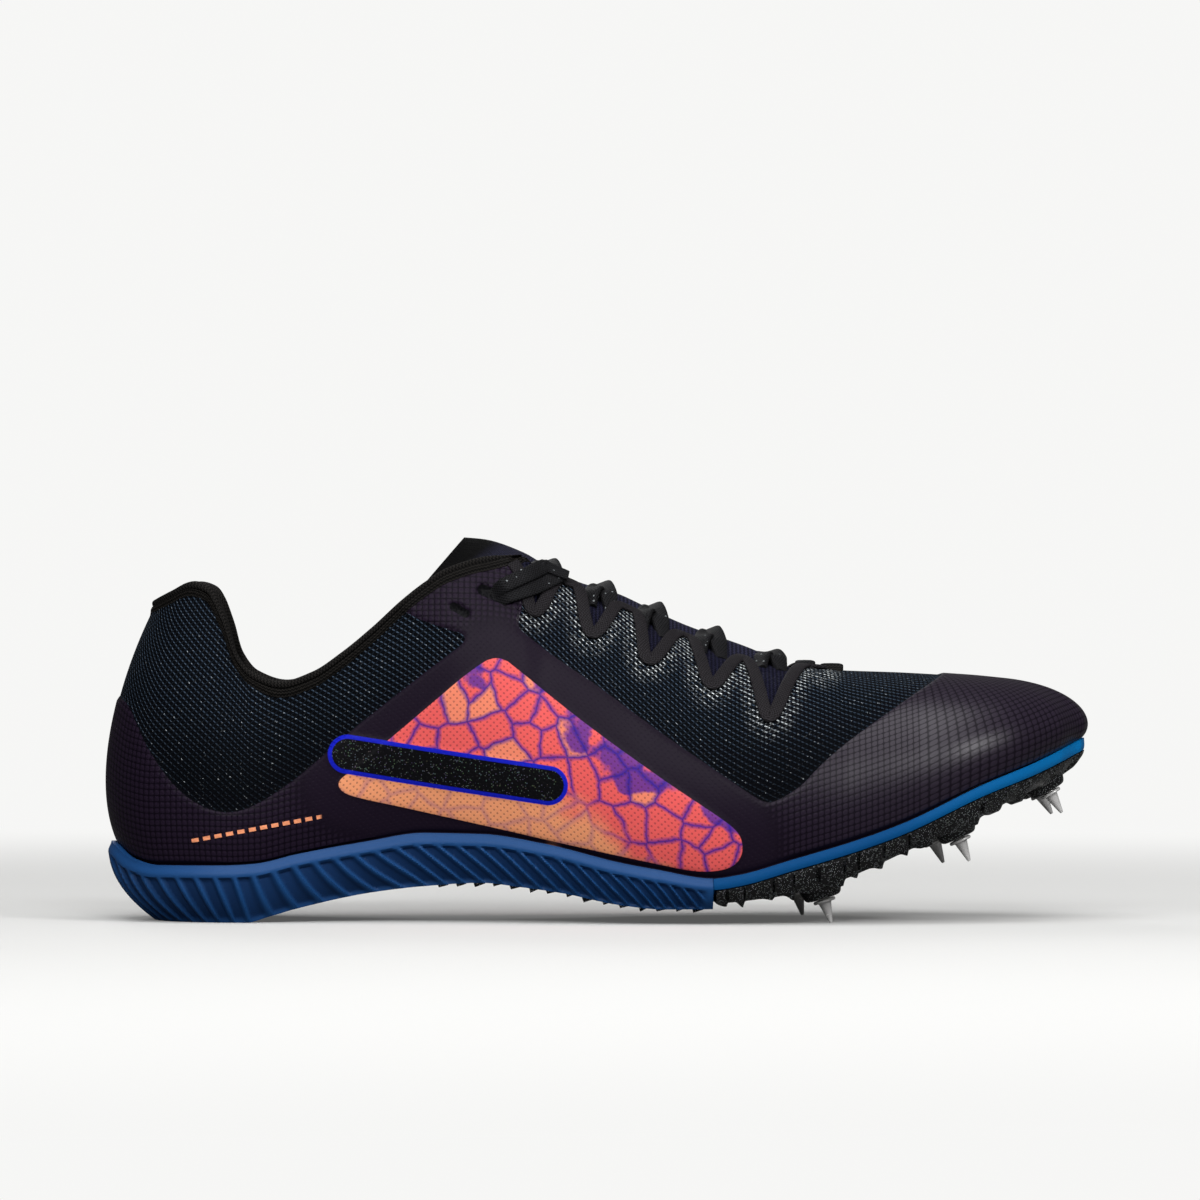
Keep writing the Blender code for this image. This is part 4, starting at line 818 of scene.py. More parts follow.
def wall_face(side, paths, rows):
    """Outer face of one side: points lifted along their normals by the layers on them.

    Each layer adds its thickness times a smooth step of the depth inside its outline.
    The masks that the finish reads come with the points.
    """
    st = stations(paths)
    bare = place_points(st, side, *wall_curve(st, side, rows))
    view = side_view(bare)
    up = arc(bare, 1)
    window = np.maximum(inside(view, heel_window), inside(view, fore_window))
    panel = inside(view, panel_outline)
    notch = inside(view, throat_outline)
    bar = capsule(view, BAR_ENDS, BAR_RADIUS)
    slot = np.maximum(capsule(view, SLOT_ENDS, SLOT_RADIUS), capsule(view, TOP_HOLE_ENDS, TOP_HOLE_RADIUS))
    width = BINDING * ease(st["place"], 0.08, 0.18)
    width = width * (1.0 - ease(st["place"], COLLAR_END - 0.005, COLLAR_END + 0.012))
    binding = width[:, None] - (up[:, -1:] - up) - HAIR
    lift = FILM * (1.0 - ease(window, -STEP, STEP)) + PRINT_LIFT * ease(panel, -STEP, 0.0003)
    lift = lift + PRINT_LIFT * ease(bar, -0.0003, 0.0003) - SINK * ease(notch, 0.0, 0.0012)
    lift = lift - SINK * ease(slot, -0.0004, 0.0008) + BINDING_LIFT * ease(binding, 0.0, 0.0008)
    points = place_points(st, side, *wall_curve(st, side, rows, lift))
    above_bar = beside(view, BAR_ENDS)[1]
    tone = np.abs(beside(view, TONE_LINE)[1]) * (0.35 + 0.65 * ease(-above_bar, -0.004, 0.004))
    at, off = beside(view, DASH_LINE)
    on = (at > 0.0) & (at < np.hypot(*(DASH_LINE[1] - DASH_LINE[0]))) & (side < 0)
    cloth = np.stack([paths[:, None] * LENGTH * np.ones_like(up), up, np.zeros_like(up)], axis=-1)
    dash = np.stack([at / DASH_PITCH, off, on.astype(float)], axis=-1)
    return points, {"window": window, "panel": panel, "notch": notch, "slot": slot, "bar": bar, "dash": dash,
                    "binding": binding, "tone": tone, "cloth": cloth, "lining": np.zeros_like(up)}


def make_upper():
    """Both sides in one ring of stations, each with skirt, outer face, rim and inner face."""
    paths = np.concatenate([np.linspace(0.0, LAST["path"][FAN], 46),
                            path_at(np.linspace(LAST["spine"][FAN], THROAT_SHARE, 210))[1:],
                            np.linspace(path_at(THROAT_SHARE), PATH_END, 80)[1:]])
    st = stations(paths)
    rows = np.linspace(0.02, 1.0, 88)[None, :]
    back = np.linspace(1.0, 0.08, 18)[None, :]
    grids, marks = [], []
    for side, _ in SIDES:
        foot = st["foot" + suffix(side)][:, None]
        skirt = bed(ahead_of(st, foot[:, 0] + GAP))[:, None] + GAP
        face, masks = wall_face(side, paths, rows)
        lower = place_points(st, side, np.repeat(foot, 2, axis=1),
                             np.concatenate([skirt, sole_top(st, side)[:, None] + GAP], axis=1))
        inner = place_points(st, side, *wall_curve(st, side, back, -WALL))
        hem = place_points(st, side, foot - WALL, skirt)
        grids.append(np.concatenate([lower, face, inner, hem], axis=1))
        for key, values in masks.items():
            ends = [(0, 0), (2, back.size + 1)] + [(0, 0)] * (values.ndim - 2)
            masks[key] = np.pad(values, ends, mode="edge")
        masks["lining"][:, 2 + rows.size:] = 1.0
        marks.append(masks)
    ring = ring_of(grids)
    count, width = ring.shape[:2]
    quads = grid_quads(count, width, True, True)
    closed = ring_of([st["rim_o"], st["rim_i"]]) < 1e-7
    station, row = quads[:, 0] // width, quads[:, 0] % width
    ridge = (row == 1 + rows.size) & closed[station] & closed[(station + 1) % count]
    return add_piece("upper_shell", ring, quads[~ridge], upper_mat,
                     ("upper", "side_panel_outer", "side_panel_inner"),
                     {key: ring_of([masks[key] for masks in marks]) for key in marks[0]})


make_upper()

# %% [markdown]
# ## Knitted pieces
# Collar and tongue are knit.  Fine ribs run over them as relief in the finish, and
# their form stays soft: sections are smooth closed curves through a few points.

# %% Knit materials
KNIT_END = (0.0020, 0.0020, 0.0022, 1.0)


def knit_material(name, low, high, pitch, end=HAIR):
    """Ribbed cloth: dark between the ribs, lighter on them, and black up to its end."""
    mat, graph = new_material(name, Roughness=0.85, Specular_IOR_Level=0.08)
    along, across, _ = graph.split(graph.attribute("cloth", "Vector"))
    relief, = graph.group("knit_ribs", Along=along, Across=across, Pitch=pitch)
    black = graph.ramp(along, end, 0.5 * end)
    graph.shade(relief * (0.25 * pitch), Base_Color=graph.mix(black, graph.mix(relief, low, high), KNIT_END))
    return mat


collar_mat = knit_material("collar_knit", (0.004, 0.004, 0.004, 1), (0.018, 0.016, 0.015, 1), 0.0010)
tongue_mat = knit_material("tongue_rib", (0.005, 0.005, 0.010, 1), (0.024, 0.024, 0.048, 1), 0.0012, 0.030)


def closed_spline(points, parts):
    """Smooth closed curve through each section's points: Catmull and Rom's cubic."""
    before, after, last = (np.roll(points, n, axis=1) for n in (1, -1, -2))
    t = (np.arange(parts) / parts)[None, None, :, None]
    a, b, c, d = (p[:, :, None, :] for p in (before, points, after, last))
    curve = 0.5 * (2 * b + (c - a) * t + (2 * a - 5 * b + 4 * c - d) * t ** 2
                   + (3 * b - a - 3 * c + d) * t ** 3)
    return curve.reshape(points.shape[0], -1, 3)


# %% Collar
def make_collar():
    """Binding that caps the rim and pads the inside, a smooth section at each station."""
    paths = np.linspace(0.0, path_at(COLLAR_END), 150)
    st = stations(paths)
    flush = np.zeros(len(paths))
    sides = []
    for side in (-1, 1):
        tall = collar_height(ahead_of(st, st["rim" + suffix(side)]))
        pad = pad_depth(st["place"])
        deep = WALL + GAP + pad

        def at(v, inward, up):
            reach, height = wall_curve(st, side, np.full((1, 1), v), -inward[:, None])
            return place_points(st, side, reach, height + up[:, None])[:, 0]

        sides.append(np.stack([
            at(1.0, flush - 0.0003, flush + GAP), at(1.0, flush - GAP, GAP + 0.6 * tall),
            at(1.0, 0.35 * deep, GAP + tall), at(1.0, 0.8 * deep, GAP + 0.75 * tall),
            at(1.0, deep + GAP, flush + GAP), at(0.90, deep + GAP, flush), at(0.78, deep - 0.4 * pad, flush),
            at(0.75, flush + WALL + GAP, flush), at(0.90, flush + WALL + GAP, flush),
            at(1.0, flush + WALL + GAP, flush + GAP)], axis=1))
    grid = np.concatenate([sides[0][::-1], sides[1][1:]])
    return add_tube("collar_soft", closed_spline(grid, 4), collar_mat, ("collar",))


make_collar()

# %% Tongue
TONGUE_END = 0.366
TONGUE_RISE = 0.0022
TONGUE_SWEEP = 3.4   # the sides of its end trail this much more than the solid's


def crown_height(places):
    """Middle of the tongue: it swells a little between the laces."""
    swell = ease(places, 0.47, 0.53) * (1.0 - ease(places, 0.67, 0.73))
    return smooth(places, CROWN_LINE[:, 0], CROWN_LINE[:, 1]) * INSTEP_HEIGHT + TONGUE_RISE * swell


def make_tongue():
    """Strip under the laces whose crown follows the middle line, its end rounded."""
    places = np.linspace(TONGUE_END, CROWN_LINE[-1, 0] - 0.003, 70)
    lean = TONGUE_SWEEP * TONGUE_LEAN * (1.0 - ease(places, TONGUE_END, 0.450))
    crown = crown_height(places)

    def inward(at):
        return WALL + 2 * GAP + (pad_depth(at) + 4 * GAP) * (1.0 - ease(at, 0.42, 0.45))

    top = throat_points(places, np.linspace(-1.0, 1.0, 41), inward, crown,
                        lambda stop: -lean * abs(stop) ** 1.2)
    along = np.gradient(top[:, :, 1:], axis=1)
    along /= np.linalg.norm(along, axis=2, keepdims=True)
    under = top.copy()
    under[:, :, 1] += along[:, :, 1] * TONGUE_THICK
    under[:, :, 2] -= along[:, :, 0] * TONGUE_THICK
    grid = np.concatenate([top, under[:, ::-1]], axis=1)
    return add_tube("tongue_soft", grid, tongue_mat, ("tongue",))


make_tongue()

# %% [markdown]
# ## Webbing and laces
# Narrow webbing binds the scalloped edge of the throat.  Two flat laces cross over each
# loop of it, one leaning each way, and dive in behind it on both sides.  All are
# ribbons: a rounded flat section carried along a line, level with the surface under it.

# %% Ribbon helpers
def wall_at(side, path, v, lift=0.0):
    """Points on the upper at ways along the edge and shares up the wall."""
    st = stations(path)
    return place_points(st, side, *wall_curve(st, side, v[:, None], lift))[:, 0]


def on_wall(side, view, parts=80):
    """Way along the edge and share up the wall of side view points, closed in on by steps."""
    x = view[:, 0].copy()
    v = np.linspace(0.0, 1.0, parts + 1)[None, :]
    k = np.arange(len(x))
    for _ in range(4):
        st = stations(path_at(share(x)))
        points = place_points(st, side, *wall_curve(st, side, v))
        height = side_view(points)[..., 1]
        i = np.clip((height < view[:, 1:]).sum(axis=1), 1, parts)
        part = np.clip((view[:, 1] - height[k, i - 1]) / (height[k, i] - height[k, i - 1]), 0.0, 1.0)
        depth = np.abs(points[k, i, 1])
        x = CAMERA_X + (view[:, 0] - CAMERA_X) * (CAMERA_AWAY - depth) / CAMERA_AWAY
    return path_at(share(x)), (i - 1 + part) / parts


def wall_normal(side, path, v):
    """Outward normal: across the steps along the edge and up the wall."""
    e = 0.002
    along = wall_at(side, path + e, v) - wall_at(side, path - e, v)
    up = wall_at(side, path, np.minimum(v + e, 1.0)) - wall_at(side, path, np.maximum(v - e, 0.0) - e)
    normal = np.cross(along, up)
    normal /= np.linalg.norm(normal, axis=1, keepdims=True)
    return normal * np.where(normal @ np.array([0.0, side, 0.5]) > 0, 1.0, -1.0)[:, None]


def resample(line_points, step):
    """Points at even steps along a polyline."""
    run = arc(line_points[:, None], 0)[:, 0]
    at = np.linspace(0.0, run[-1], max(int(run[-1] / step), 4))
    return np.stack([np.interp(at, run, c) for c in line_points.T], axis=1)


def ribbon_grid(route, normal, width, thick, parts=16):
    """Sections of a flat band with round edges, its breadth square to route and normal."""
    along = np.gradient(route, axis=0)
    along /= np.linalg.norm(along, axis=1, keepdims=True)
    broad = np.cross(normal, along)
    broad /= np.linalg.norm(broad, axis=1, keepdims=True)
    up = np.cross(along, broad)
    angle = np.linspace(0.0, 2 * np.pi, parts, endpoint=False)
    wide = np.sign(np.cos(angle)) * np.abs(np.cos(angle)) ** 0.5
    high = np.sign(np.sin(angle)) * np.abs(np.sin(angle)) ** 0.7
    width = np.broadcast_to(width, len(route))[:, None, None]
    thick = np.broadcast_to(thick, len(route))[:, None, None]
    return (route[:, None] + 0.5 * width * wide[None, :, None] * broad[:, None]
            + 0.5 * thick * high[None, :, None] * up[:, None])


# %% Woven materials
def woven_material(name, low, high, fleck_share):
    """Flat weave: slanted strands with a few pale flecks."""
    mat, graph = new_material(name, Roughness=0.65, Specular_IOR_Level=0.12)
    net = graph.group("diamond_net", Cloth=graph.attribute("cloth", "Vector"), Pitch=0.0011, Line=0.75)[0]
    fleck = graph.group("glitter", Point=graph.position(), Scale=1500.0, Share=fleck_share)[0]
    graph.shade(net * 0.00018, Base_Color=graph.mix(fleck, graph.mix(net, low, high), (0.22, 0.24, 0.25, 1)))
    return mat


lace_mat = woven_material("lace_weave", (0.0018, 0.0018, 0.0020, 1), (0.012, 0.012, 0.014, 1), 0.02)
webbing_mat = woven_material("webbing_weave", (0.006, 0.005, 0.006, 1), (0.020, 0.018, 0.021, 1), 0.0)

# %% Webbing
WEBBING_WIDTH, WEBBING_THICK = 0.0038, 0.0011
WEBBING_LIFT = 0.0006
SMOOTHING = 7             # points averaged along the band


def make_webbing(name, side, node):
    """Band that follows the scalloped edge over the upper."""
    path, v = on_wall(side, resample(throat_edge[2:], 0.0005))
    points = wall_at(side, path, v, WEBBING_LIFT)
    normal = wall_normal(side, path, v)
    for values in (*points.T, *normal.T):
        values[3:-3] = np.convolve(values, np.ones(SMOOTHING) / SMOOTHING, "valid")
    grid = ribbon_grid(points, normal, WEBBING_WIDTH, WEBBING_THICK)
    return add_tube(name, grid, webbing_mat, (node,))


for side, word in SIDES:
    make_webbing("webbing_" + word, side, "eyestay_" + word)

# %% Laces
LACE_PLACES = (0.4500, 0.5050, 0.5570, 0.6160, 0.6770)   # of the loops, in lengths
LOWEST_PLACE, TRIM_PLACE = 0.7130, 0.7400
LACE_REACH = 0.66         # how far a lace runs across, where 1 is well down the wall
LACE_LIFT = 0.0014        # over the upper's face beside the throat
LACE_DIVE = 0.0034        # how deep its ends go in behind the webbing
TRIM_WIDTH = 0.0066
STRAND_WIDTH, STRAND_THICK, STRAND_DIVE = 0.0046, 0.0014, 0.001


def lace_route(start, end, over):
    """Line across the throat from a place on the outer side to one on the inner side."""
    t = np.linspace(-LACE_REACH, LACE_REACH, 61)
    middle = np.array([0.5 * (start + end)])
    crown = np.maximum(crown_height(middle), smooth(middle, TOP_LINE[:, 0], TOP_LINE[:, 1]) * INSTEP_HEIGHT)
    slope = 0.5 * (end - start) / LACE_REACH
    route = throat_points(middle, t, lambda spot: np.full(1, -LACE_LIFT), crown + 0.0002 + over,
                          lambda stop: slope * stop)[0]
    return t, route, ease(np.abs(t), 0.62 * LACE_REACH, LACE_REACH)


def add_lace(name, start, end, over, node, turn=0.0, width=LACE_WIDTH, mat=lace_mat):
    """Flat lace: it leans as it crosses, and bunches where it dives beside the webbing."""
    t, route, dive = lace_route(start, end, over)
    normal = np.stack([np.zeros(len(t)), -np.gradient(route[:, 2]), np.gradient(route[:, 1])], axis=1)
    normal /= np.linalg.norm(normal, axis=1, keepdims=True)
    normal *= np.sign(normal[:, 2:])
    route = route - normal * (LACE_DIVE * dive)[:, None]
    normal[:, 0] += turn * np.cos(np.pi * t / LACE_REACH)
    normal /= np.linalg.norm(normal, axis=1, keepdims=True)
    grid = ribbon_grid(route, normal, width * (1.0 - 0.30 * dive), LACE_THICK * (0.85 + 0.5 * dive))
    return add_tube(name, grid, mat, node)


add_lace("lace_straight", LOWEST_PLACE, LOWEST_PLACE, -0.0012, ("lace_bar_6",))
add_lace("throat_trim", TRIM_PLACE, TRIM_PLACE, -0.0026, (), 0.0, TRIM_WIDTH, collar_mat)
for k, place in enumerate(LACE_PLACES, 1):
    add_lace("lace_under_%d" % k, place - 0.011, place + 0.009, -0.0004, ("lace_bar_%d" % k,), 0.55)
    add_lace("lace_over_%d" % k, place + 0.011, place - 0.009, 0.0008, (), -0.45)

# %% Top strands
TOP_STRANDS = (("low", 0.0016, np.array([(104.0, 98.5), (98.0, 95.8), (90.0, 93.2), (83.5, 91.6)]) / 1000),
               ("high", 0.0026, np.array([(104.5, 101.5), (97.0, 99.6), (89.0, 96.2), (82.5, 93.6)]) / 1000))


def make_top_strand(name, side, route, lift):
    """Lace from the first loop back along the quarter into the top hole."""
    path, v = on_wall(side, resample(soften(route, closed=False), 0.0006))
    dive = ease(np.linspace(0.0, 1.0, len(path)), 0.80, 1.0)
    points = wall_at(side, path, v, (lift * (1 - dive) - STRAND_DIVE * dive)[:, None])
    grid = ribbon_grid(points, wall_normal(side, path, v), STRAND_WIDTH, STRAND_THICK)
    return add_tube(name, grid, lace_mat)


for side, word in SIDES:
    for level, lift, route in TOP_STRANDS:
        make_top_strand("lace_top_%s_%s" % (level, word), side, route, lift)

# %% [markdown]
# ## The foam sole
# The side of the foam is moulded with leaning recesses between ribs, under a smooth
# bevel.  A rib count that runs on along the edge gives each point its place in a
# recess, and the point sinks there.  The lean moves the count as the side goes down.

# %% Foam material
FOAM_SIDE, FOAM_RECESS_SHADE = (0.0110, 0.0640, 0.2050, 1), (0.0070, 0.0330, 0.1120, 1)
BAND_BACK, BAND_FRONT = (0.0010, 0.0700, 0.2300, 1), (0.0010, 0.1700, 0.4700, 1)

foam_mat, graph = new_material("blue_foam", Specular_IOR_Level=0.15)
grain, front = graph.grain(1400.0), graph.attribute("front")
# The recesses are painted a darker blue than the ribs: painted shade.
side_color = graph.mix(graph.attribute("sunk"), FOAM_SIDE, FOAM_RECESS_SHADE)
band_color = graph.mix(graph.ramp(front, 0.55, 1.15), BAND_BACK, BAND_FRONT)
graph.shade(grain * 0.00004, Roughness=grain * 0.20 + 0.38,
            Base_Color=graph.mix(graph.ramp(front, 0.02, 0.10), side_color, band_color))

# %% Foam surface
PITCH_BACK, PITCH_STEP = 0.0058, 0.0038   # rib to rib at the heel, and up to the step
RECESS_TOP = 0.0037       # below the lip
RECESS_DEPTH = 0.0013
BEVEL, BEVEL_FRONT, BEVEL_TALL = 0.0011, 0.0003, 0.0030
SIDE_CURVE = 2.3          # power of the way down that the side runs in with
TONGUE_SEAT = 0.0062      # length over which the foam makes way for the plate's tongue


def rib_count(run):
    """How many recesses lie behind a way along the edge: a longer pitch, then a shorter."""
    fine = np.linspace(0.0, 0.32, 400)
    pitch = PITCH_BACK + (PITCH_STEP - PITCH_BACK) * ease(fine, 0.128, 0.180)
    count = np.concatenate([[0.0], np.cumsum(np.diff(fine) / (0.5 * (pitch[1:] + pitch[:-1])))])
    return np.interp(run, fine, count)


def make_foam():
    """Bed, lip, ribbed side and underside, both sides in one ring of stations."""
    stop = path_at(share((STEP_SHARE - HEEL_SEAT) * LENGTH - GAP))
    paths = np.concatenate([np.linspace(0.0, stop, 430), [path_at(STEP_SHARE) + HAIR],
                            np.linspace(path_at(STEP_SHARE) + 0.003, PATH_END, 120)])
    st = stations(paths)
    back = st["place"] < STEP_SHARE - 1e-7
    hollow = st["place"] > PLATE_START - 0.5 * TONGUE_SEAT / LENGTH
    lean = 0.30 + 0.95 * ease(st["place"], 0.13, 0.36) - 0.35 * ease(st["place"], 0.52, 0.60)
    fade = ease(stop - paths, 0.004, 0.016) * back * ease(paths, 0.0, 0.01)
    t = np.linspace(0.0, 1.0, 30)
    zero = np.zeros(len(paths))
    sides, marks = [], []
    for side, _ in SIDES:
        lip_in, outside, foot = sole_edge(st, side)
        top = sole_top(st, side)
        low = np.where(back, line(FOAM_LINE, ahead_of(st, foot), TOE_LIFT), top - BAND_HEIGHT)
        height = top[:, None] + (low - top)[:, None] * t
        drop = top[:, None] - height
        run_in = (outside - foot) * np.where(back, 1.0, 0.12)
        bevel = np.where(back, BEVEL, BEVEL_FRONT)[:, None] * (1.0 - ease(drop, 0.0, BEVEL_TALL))
        turn = rib_count(paths[:, None] * LENGTH - lean[:, None] * (drop - RECESS_TOP))
        part = turn - np.floor(turn)
        sunk = ease(part, 0.02, 0.16) * (1.0 - ease(part, 0.62, 0.90))
        sunk = sunk * ease(drop, RECESS_TOP - 0.0004, RECESS_TOP + 0.0006)
        sunk = sunk * (1.0 - 0.75 * ease(t, 0.90, 1.0)) * fade[:, None]
        reach = outside[:, None] - bevel - run_in[:, None] * t ** SIDE_CURVE - RECESS_DEPTH * sunk
        block = block_edge(st, side)
        under = np.where(hollow, plate_floor(ahead_of(st, block)) + GAP, low)
        middle = np.where(back, line(FOAM_LINE, st["x"], TOE_LIFT), 0.0)
        middle = np.where(hollow, plate_floor(st["x"]) + GAP, middle)
        before = [(zero, bed(st["x"])), (lip_in, bed(ahead_of(st, lip_in))),
                  (lip_in, top - 0.0004), (lip_in + 0.0004, top)]
        after = [(block, low), (block, under), (zero, middle)]
        sides.append(section_points(st, side, before, (reach, height), after))
        marks.append(np.pad(sunk, ((0, 0), (len(before), len(after)))))
    ring = ring_of(sides)
    front = ease(paths, stop, PATH_END) + 0.2 * (~back)
    front = ring_of([front, front])[:, None] * np.ones(ring.shape[:2])
    return add_piece("foam_sole", ring, grid_quads(*ring.shape[:2], wrap_count=True), foam_mat,
                     ("midsole",), {"sunk": ring_of(marks), "front": front}, 30.0)


make_foam()

# %% [markdown]
# ## The spike plate
# A stiff moulded plate carries the spikes.  Glitter in the plastic shows as pale
# flecks.  Its edge is cut into short fins between rounded bosses.

# %% Plate material
plate_mat, graph = new_material("black_plate", Roughness=0.28, Coat_Roughness=0.10)
fleck, tint = graph.group("glitter", Point=graph.position(), Scale=3400.0, Share=0.26)
silver = graph.mix(0.15, (0.80, 0.80, 0.82, 1), tint)
graph.shade(graph.grain(500.0) * 0.00020, Metallic=fleck * 0.9,
            Base_Color=graph.mix(fleck, (0.0035, 0.0035, 0.0040, 1), silver))

# %% Plate surface
FIN_PITCH = 0.0064
FIN_DEPTH = 0.0045        # how far a fin runs in under the plate
SLIT_DEPTH = 0.0011       # notch in the rim ahead of each fin


def make_plate():
    """Tray under the forefoot and a tongue of it under the arch; fins cut its lower edge.

    The fins' count is bent by two sines, and each fin has its own length.
    """
    start = path_at(share((STEP_SHARE - HEEL_SEAT) * LENGTH + 2 * GAP))
    tongue_paths = np.linspace(path_at(PLATE_START + 0.6 * TONGUE_SEAT / LENGTH), start - 0.0012, 40)
    paths = np.concatenate([tongue_paths, [start], np.linspace(start + 0.0004, PATH_END, 330)])
    st = stations(paths)
    tray = np.arange(len(paths)) >= len(tongue_paths)
    walled = np.arange(len(paths)) > len(tongue_paths)
    turn = paths * LENGTH / FIN_PITCH
    turn = turn + 0.16 * np.sin(2.3 * turn) + 0.10 * np.sin(5.1 * turn + 1.0)
    part = turn - np.floor(turn)
    bite = 0.35 + 0.65 * np.abs(np.sin(1.7 * np.floor(turn) + 0.6))
    fin = LUG_HEIGHT * ease(part, 0.30, 0.92) * (1.0 - ease(part, 0.94, 1.0)) * walled * bite
    slit = SLIT_DEPTH * (1.0 - ease(np.abs(part - 0.98), 0.03, 0.10)) * walled
    t = np.linspace(0.0, 1.0, 14)[None, :]
    zero = np.zeros(len(paths))
    sides = []
    for side, _ in SIDES:
        _, outside, foot = sole_edge(st, side)
        tongue = TONGUE_SHARE * outside - GAP
        rim_in = np.where(tray, outside - PLATE_RIM + GAP, tongue)
        rim_out = np.where(tray, outside - GAP, tongue)
        edge = np.where(tray, foot + 0.0006, tongue)
        floor = plate_floor(ahead_of(st, rim_in))
        rim_top = np.where(walled, sole_top(st, side) - BAND_HEIGHT - GAP, floor)
        low = plate_under(ahead_of(st, edge)) - fin
        reach = rim_out[:, None] + (edge - rim_out)[:, None] * t ** 1.8
        reach = reach - slit[:, None] * np.sin(np.pi * np.clip(t * 1.1, 0, 1))
        height = rim_top[:, None] + (low - rim_top)[:, None] * t
        fin_in = edge - FIN_DEPTH * tray
        fin_end = fin_in - 0.001 * tray
        before = [(zero, plate_floor(st["x"])), (rim_in, floor), (rim_in, rim_top)]
        after = [(fin_in, plate_under(ahead_of(st, fin_in)) - fin),
                 (fin_end, plate_under(ahead_of(st, fin_end))), (zero, plate_under(st["x"]))]
        sides.append(section_points(st, side, before, (reach, height), after))
    ring = np.concatenate([sides[0], sides[1][-2::-1]])
    count, rows = ring.shape[:2]
    inner = np.arange(rows - 1)
    end = (count - 1) * rows
    cap = np.stack([inner, inner + 1, end + inner + 1, end + inner], axis=1)
    return add_piece("plate_tray", ring, np.concatenate([grid_quads(count, rows), cap]), plate_mat,
                     ("spike_plate",), None, 30.0)


make_plate()

# %% [markdown]
# ## Nubs under the arch
# The plate runs on under the foam as a tongue.  Its edge shows from the side as small
# ragged nubs.  Each is a wedge with a pointed lower end, three to four millimetres long.

# %% Arch nubs
NUB_FIRST, NUB_LAST = 0.345, 0.615   # places along the length
NUB_PITCH = 0.0052
NUB_FACES = np.array([(0, 1, 2, 3), (7, 6, 5, 4), (0, 4, 5, 1), (1, 5, 6, 2), (2, 6, 7, 3), (3, 7, 4, 0)])


def make_nubs(name, side):
    """Row of wedges along the plate's tongue, tips turned to the heel, no two alike."""
    st = stations(path_at(np.arange(NUB_FIRST, NUB_LAST, NUB_PITCH / LENGTH)))
    reach = block_edge(st, side)[:, None] - 0.0004
    low = line(FOAM_LINE, ahead_of(st, reach[:, 0]), TOE_LIFT)
    k = np.arange(len(low))
    tall = 0.0007 + 0.0008 * np.abs(np.sin(2.1 * k + 0.4))
    half = 0.0017 + 0.0004 * np.sin(3.3 * k)
    wide, level = np.full(len(k), 0.0016), np.full(len(k), 0.0010)
    corners = []
    for dy in (-wide, wide):
        corners += [(-half, dy, level), (half, dy, level), (half, 0.7 * dy, -0.3 * tall),
                    (-0.6 * half, 0.5 * dy, -tall)]
    corners = [np.stack(corner, axis=1) for corner in corners]
    points = place_points(st, side, reach, low[:, None]) + np.stack(corners, axis=1)
    faces = (NUB_FACES[None] + 8 * k[:, None, None]).reshape(-1, 4)
    return add_piece(name, points, faces, plate_mat, crease=0.0)


for side, word in SIDES:
    make_nubs("arch_nubs_" + word, side)

# %% [markdown]
# ## Bosses and spikes
# Each spike is turned steel: a flange, then a cone.  A turned piece is a profile
# carried round an axis, here set square to the plate.

# %% Turned pieces
steel_mat, graph = new_material("steel", Metallic=0.35, Base_Color=(0.88, 0.87, 0.86, 1))
graph.shade(Roughness=graph.grain(900.0) * 0.25 + 0.12)

def spike_seat(place, aside, stands):
    """Where a spike's flange sits under the plate, and the way it points.

    The spike is square to the plate.  One that stands has its seat at the height
    that puts its tip on the floor.
    """
    x = (place - HEEL_SEAT) * LENGTH
    near = np.array([x - 0.006, x + 0.006])
    low = plate_under(near)
    down = Vector((low[1] - low[0], 0.0, -0.012)).normalized()
    spine = stations(path_at(place))["y"][0]
    z = float(plate_under(x)) - LUG_HEIGHT - BOSS_HEIGHT
    if stands:
        z = -down.z * (GAP + FLANGE_THICK + PIN_LENGTH) + down.x * 0.5 * PIN_TIP
    return Vector((x, spine + aside * BALL_WIDTH, z)), down


def turn_to(way, axis="Z"):
    """Rotation that takes the axis to the given way."""
    return way.to_track_quat(axis, "Y")


def add_turned(name, profile, seat, down, mat, stands_for=()):
    """Profile of radius and depth carried round the way down from its seat."""
    angle = np.linspace(0.0, 2 * np.pi, 40, endpoint=False)[:, None]
    radius, depth = np.array(profile).T
    place = np.stack([radius * np.cos(angle), radius * np.sin(angle), depth * np.ones_like(angle)], axis=-1)
    matrix = np.array(Matrix.Translation(seat) @ turn_to(down).to_matrix().to_4x4())
    points = place @ matrix[:3, :3].T + matrix[:3, 3]
    return add_piece(name, points, grid_quads(*points.shape[:2], wrap_count=True), mat, stands_for)


